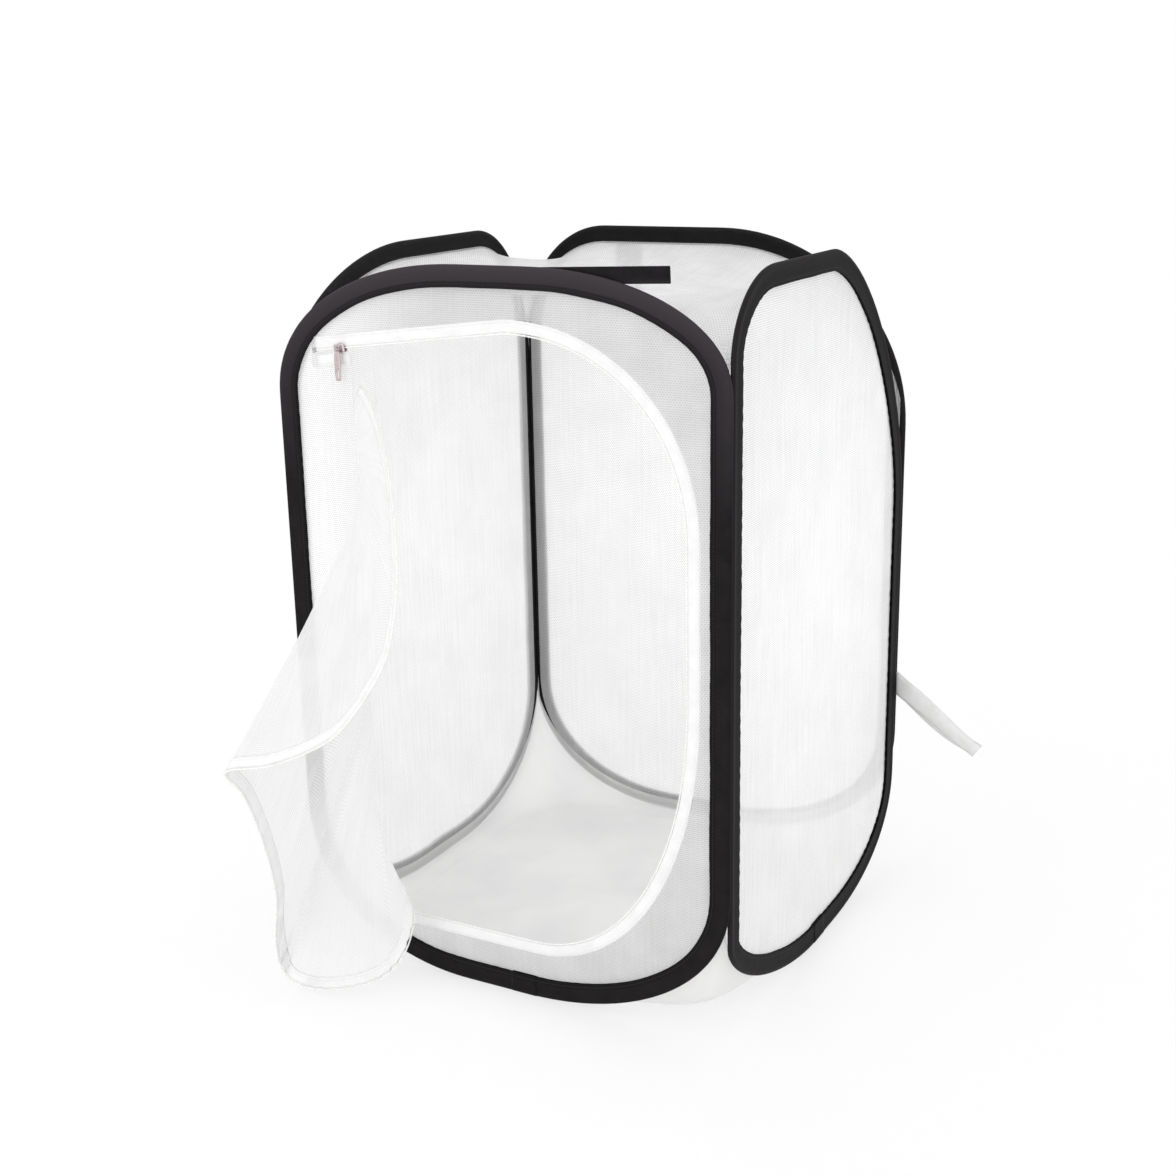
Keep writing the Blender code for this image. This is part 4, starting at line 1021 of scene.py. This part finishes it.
slot = newBox("slot", (pull["slotWide"], pull["slotLong"], pull["thick"] * 3),
              (0, tabTop - pull["length"] + pull["slotLong"] * 0.9, 0))
applyModifier(slot, "BEVEL", width=pull["slotWide"] * 0.45, segments=4, limit_method="ANGLE")
applyModifier(tab, "BOOLEAN", operation="DIFFERENCE", object=slot)
bpy.data.objects.remove(slot)
softenEdges(tab, pull["softEdge"], 2)
dress(joinAll("pullTab", [tab, ring], pullPlace), nickel, "pull", "nickel", "zip_pull")
for node in ("zip_top_stop", "zip_bottom_stop"):
    paint(nodes[node], zincCrimp)
print("slider and pull made")


# Webbing straps, each with a hook-and-loop pad
def webbingBar(name, line, across, width, extra):
    # a woven strap along a line, its width along across, and thicker by the extra share where its end is hemmed
    half, edge = width / 2, strap["thick"] / 2
    section = [(-half, 0.0), (-half + 0.0004, edge * 0.8), (-half + 0.0012, edge), (0.0, edge * 0.94),
               (half - 0.0012, edge), (half - 0.0004, edge * 0.8), (half, 0.0)]
    section += [(a, -b) for a, b in reversed(section[1:-1])]
    points, run, total = evenly(line, 0.003, False)
    rows, uvs = [], []
    for index, (point, along) in enumerate(zip(points, run)):
        before, after = points[max(index - 1, 0)], points[min(index + 1, len(points) - 1)]
        out = (after - before).normalized().cross(across).normalized()
        thicker = 1.0 + extra * min(1.0, max(0.0, (along - total + strap["hem"]) / strap["thick"]))
        rows.append([point + across * a + out * b * thicker for a, b in section])
        uvs.append(closedUvs(along, section, half))
    return layCloth(name, rows, uvs, closedAcross=True, caps=True)


def loopPatch(name, size, place):  # a pad with a stitched border, its napped field standing proud
    pad = newBox(name, size, (0, 0, 0))
    bpy.ops.object.mode_set(mode="EDIT")
    bpy.ops.mesh.select_mode(type="FACE")
    bpy.ops.object.mode_set(mode="OBJECT")
    for face in pad.data.polygons:
        face.select = face.normal.y > 0.9
    bpy.ops.object.mode_set(mode="EDIT")
    bpy.ops.mesh.inset(thickness=strap["padBorder"], depth=-strap["padNap"])
    bpy.ops.mesh.inset(thickness=strap["padNap"], depth=strap["padNap"])
    bpy.ops.object.mode_set(mode="OBJECT")
    softenEdges(pad, strap["padSoftEdge"], 2)
    return settle(pad, place)


strap = {"thick": 0.0015, "frontWidth": 0.0125, "rootX": -0.075 * wide, "endX": 0.375 * wide, "rootDrop": 0.0095,
         "endDrop": 0.0030, "hem": 0.012, "hemExtra": 0.25, "pad": 0.0012, "padLength": 0.030, "padMargin": 0.0015,
         "padBorder": 0.0010, "padNap": 0.0003, "padSoftEdge": 0.0002, "backWidth": 0.028, "backLength": 0.055,
         "backX": -0.2075 * wide, "backDrop": 0.0065}


def middleOf(node):
    low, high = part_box(node)
    return (low + high) / 2


strapY = middleOf("front_strap").y
root = Vector((strap["rootX"], strapY, tall - strap["rootDrop"]))
end = Vector((strap["endX"], strapY, tall - strap["endDrop"]))
strapWay = (end - root).normalized()
frontStrap = webbingBar("frontStrap", [root, end], Vector((-strapWay.z, 0, strapWay.x)), strap["frontWidth"],
                        strap["hemExtra"])
dress(frontStrap, webbing, "strap_on_front", "webbing", "front_strap")
padWide = strap["frontWidth"] - 2 * strap["padMargin"]
frontPad = loopPatch("frontStrapPad", (strap["padLength"], strap["pad"], padWide),
                     Matrix.Translation(middleOf("front_strap_patch"))
                     @ Matrix.Rotation(-math.atan2(strapWay.z, strapWay.x), 4, "Y"))
dress(frontPad, loopPad, "strap_on_front", "hook_and_loop", "front_strap_patch")

backTop = Vector((strap["backX"], middleOf("back_strap").y, tall - strap["backDrop"]))
backStrap = webbingBar("backStrap", [backTop, backTop - Vector((0, 0, strap["backLength"]))], Vector((1, 0, 0)),
                       strap["backWidth"], 0.0)
dress(backStrap, webbing, "strap_on_back", "webbing", "back_strap")
padWide = strap["backWidth"] - 2 * strap["padMargin"]
backPad = loopPatch("backStrapPad", (padWide, strap["pad"], strap["padLength"]),
                    Matrix.Translation(middleOf("back_strap_patch")))
dress(backPad, loopPad, "strap_on_back", "hook_and_loop", "back_strap_patch")


# Tie ribbon at the back right: one length folded double, sewn in at its two ends
ribbon = {"width": 0.022, "length": 0.098, "spread": 0.0030, "height": 0.176, "thin": 0.0006, "droop": 35,
          "steps": 40, "turnSteps": 8, "columns": 6, "curl": 0.0010, "gather": 0.38, "apart": 0.0046,
          "twist": 0.0008, "sewnIn": 0.00045}


def foldedRibbon():
    half, droop = ribbon["spread"] / 2, math.radians(ribbon["droop"])
    turnAt = ribbon["length"] - half
    steps = [s / ribbon["steps"] for s in range(ribbon["steps"])]
    turns = [math.pi * s / ribbon["turnSteps"] for s in range(ribbon["turnSteps"] + 1)]
    line = [(turnAt * s, half) for s in steps]
    line += [(turnAt + half * math.sin(turn), half * math.cos(turn)) for turn in turns]
    line += [(turnAt * s, -half) for s in reversed(steps)]
    run = Vector((math.cos(droop), 0, -math.sin(droop)))
    corner = hoops["front"]["half"]
    base = Vector((corner + zipper["gap"], corner - half - ribbon["sewnIn"], ribbon["height"]))
    rows, uvs, travelled = [], [], 0.0
    for index, (along, side) in enumerate(line):
        if index:
            travelled += math.dist(line[index], line[index - 1])
        share = along / ribbon["length"]
        across = Vector((math.sin(droop * share), 0, math.cos(droop * share)))
        belly = math.sin(math.pi * share)
        narrow = 1 - ribbon["gather"] * share * share * (3 - 2 * share)  # it curls lengthwise towards its end
        lower = ribbon["apart"] * belly * (side / half + 1) / 2  # the back half hangs below the front one
        sway = ribbon["twist"] * math.sin(2 * math.pi * share)
        row = []
        spots = [step / ribbon["columns"] for step in range(ribbon["columns"] + 1)]
        for spot in spots:
            place = (spot - 0.5) * ribbon["width"] * narrow - lower + sway
            cup = ribbon["curl"] * (belly + share) * ((spot * 2 - 1) ** 2 - 0.5)
            row.append(base + run * along + Vector((0, side + cup, 0)) + across * place)
        rows.append(row)
        uvs.append([(travelled, spot * ribbon["width"]) for spot in spots])
    return layCloth("tieRibbon", rows, uvs)


tieRibbon = foldedRibbon()
applyModifier(tieRibbon, "SOLIDIFY", thickness=ribbon["thin"], offset=0.0)
dress(tieRibbon, ribbonCloth, "ribbon", "ribbon", "tie_ribbon")
print("straps and ribbon made")


# Floor, light and camera
stageLook = {"reach": 12.0, "floor": "F8F8F8", "floorShade": "F6F6F6", "under": 0.0002, "whiteShare": 0.62,
             "fadeFrom": 0.45, "fadeTo": 1.3, "world": 1.07, "key": 1.6, "door": 3.2, "inside": 0.62}


def seenBehind(tree):  # 1 where the camera sees it straight, or by way of metal or clear parts
    path = addNode(tree, "LightPath").outputs
    indirect = addNode(tree, "Math", (path["Is Glossy Ray"], path["Is Transmission Ray"]), operation="MAXIMUM")
    return addNode(tree, "Math", (path["Is Camera Ray"], indirect), operation="MAXIMUM")


# Matt white studio paper, which turns to pure white away from the cage
white, tree = startMaterial("paleStudioFloor")
grain = addNode(tree, "TexNoise", {"Vector": addNode(tree, "TexCoord"), "Scale": 3.0})
colour = addNode(tree, "ValToRGB", {"Fac": grain}, stops=((0.0, stageLook["floorShade"]), (1.0, stageLook["floor"])))
paper = addNode(tree, "BsdfPrincipled", {"Base Color": colour, "Roughness": 0.9})
bright = addNode(tree, "Emission", {"Color": (1, 1, 1, 1), "Strength": 1.0})
away = addNode(tree, "VectorMath", (addNode(tree, "TexCoord"),), operation="LENGTH")
whiter = addNode(tree, "MapRange", {
    "Value": away, "From Min": stageLook["fadeFrom"], "From Max": stageLook["fadeTo"],
    "To Min": stageLook["whiteShare"]})
share = addNode(tree, "Math", (seenBehind(tree), whiter), operation="MULTIPLY")
addNode(tree, "OutputMaterial", {"Surface": addNode(tree, "MixShader", (share, paper, bright))})
bpy.ops.object.select_all(action="DESELECT")
bpy.ops.mesh.primitive_plane_add(size=2 * stageLook["reach"], location=(0, 0, -stageLook["under"]))
floor = bpy.context.object
floor.name = "studioFloor"
floor.data.materials.append(white)

world = bpy.data.worlds.new("softWhite")
bpy.context.scene.world = world
world.use_nodes = True
tree = world.node_tree
tree.nodes.clear()
room, behind = (addNode(tree, "Background", {"Color": (1, 1, 1, 1), "Strength": strength})
                for strength in (stageLook["world"], 1.0))
addNode(tree, "OutputWorld", {"Surface": addNode(tree, "MixShader", (seenBehind(tree), room, behind))})


def softLamp(name, power, size, place, aim, kind="AREA"):  # a wide disk, or a ball that the camera doesn't see
    lamp = bpy.data.lights.new(name, kind)
    lamp.energy = power
    if kind == "AREA":
        lamp.shape, lamp.size = "DISK", size
    else:
        lamp.shadow_soft_size = size
    obj = bpy.data.objects.new(name, lamp)
    obj.visible_camera = kind == "AREA"
    obj.location = place
    obj.rotation_euler = (Vector(aim) - Vector(place)).to_track_quat("-Z", "Y").to_euler()
    bpy.context.scene.collection.objects.link(obj)


softLamp("keyLamp", stageLook["key"], 1.6, (-0.9, -1.6, 2.3), (0, 0, 0.3))
softLamp("doorLamp", stageLook["door"], 1.2, (-0.45, -1.7, 0.45), (-0.2, -0.3, 0.15))  # on the hanging door's foot
softLamp("insideLamp", stageLook["inside"], 0.13, (0.0, 0.01, 0.34), (0, 0, 0), kind="POINT")  # nets glow from within

view = {"place": (0.66055, -1.26256, 0.71230), "right": (0.88080, 0.47314, -0.01849),
        "up": (-0.11618, 0.25382, 0.96025), "focal": 1664.7, "imageWidth": 1176}  # focal length in the photo's pixels
lens = bpy.data.cameras.new("photoCamera")
lens.sensor_width = 36.0
lens.lens = lens.sensor_width * view["focal"] / view["imageWidth"]
lens.clip_start, lens.clip_end = 0.05, 50
camera = bpy.data.objects.new("photoCamera", lens)
right, up = Vector(view["right"]), Vector(view["up"])
turn = Matrix((right, up, right.cross(up))).transposed().to_4x4()
camera.matrix_world = Matrix.Translation(view["place"]) @ turn
bpy.context.scene.collection.objects.link(camera)
bpy.context.scene.camera = camera
bpy.context.scene.view_settings.view_transform = "Standard"
print("stage, lights and camera set")
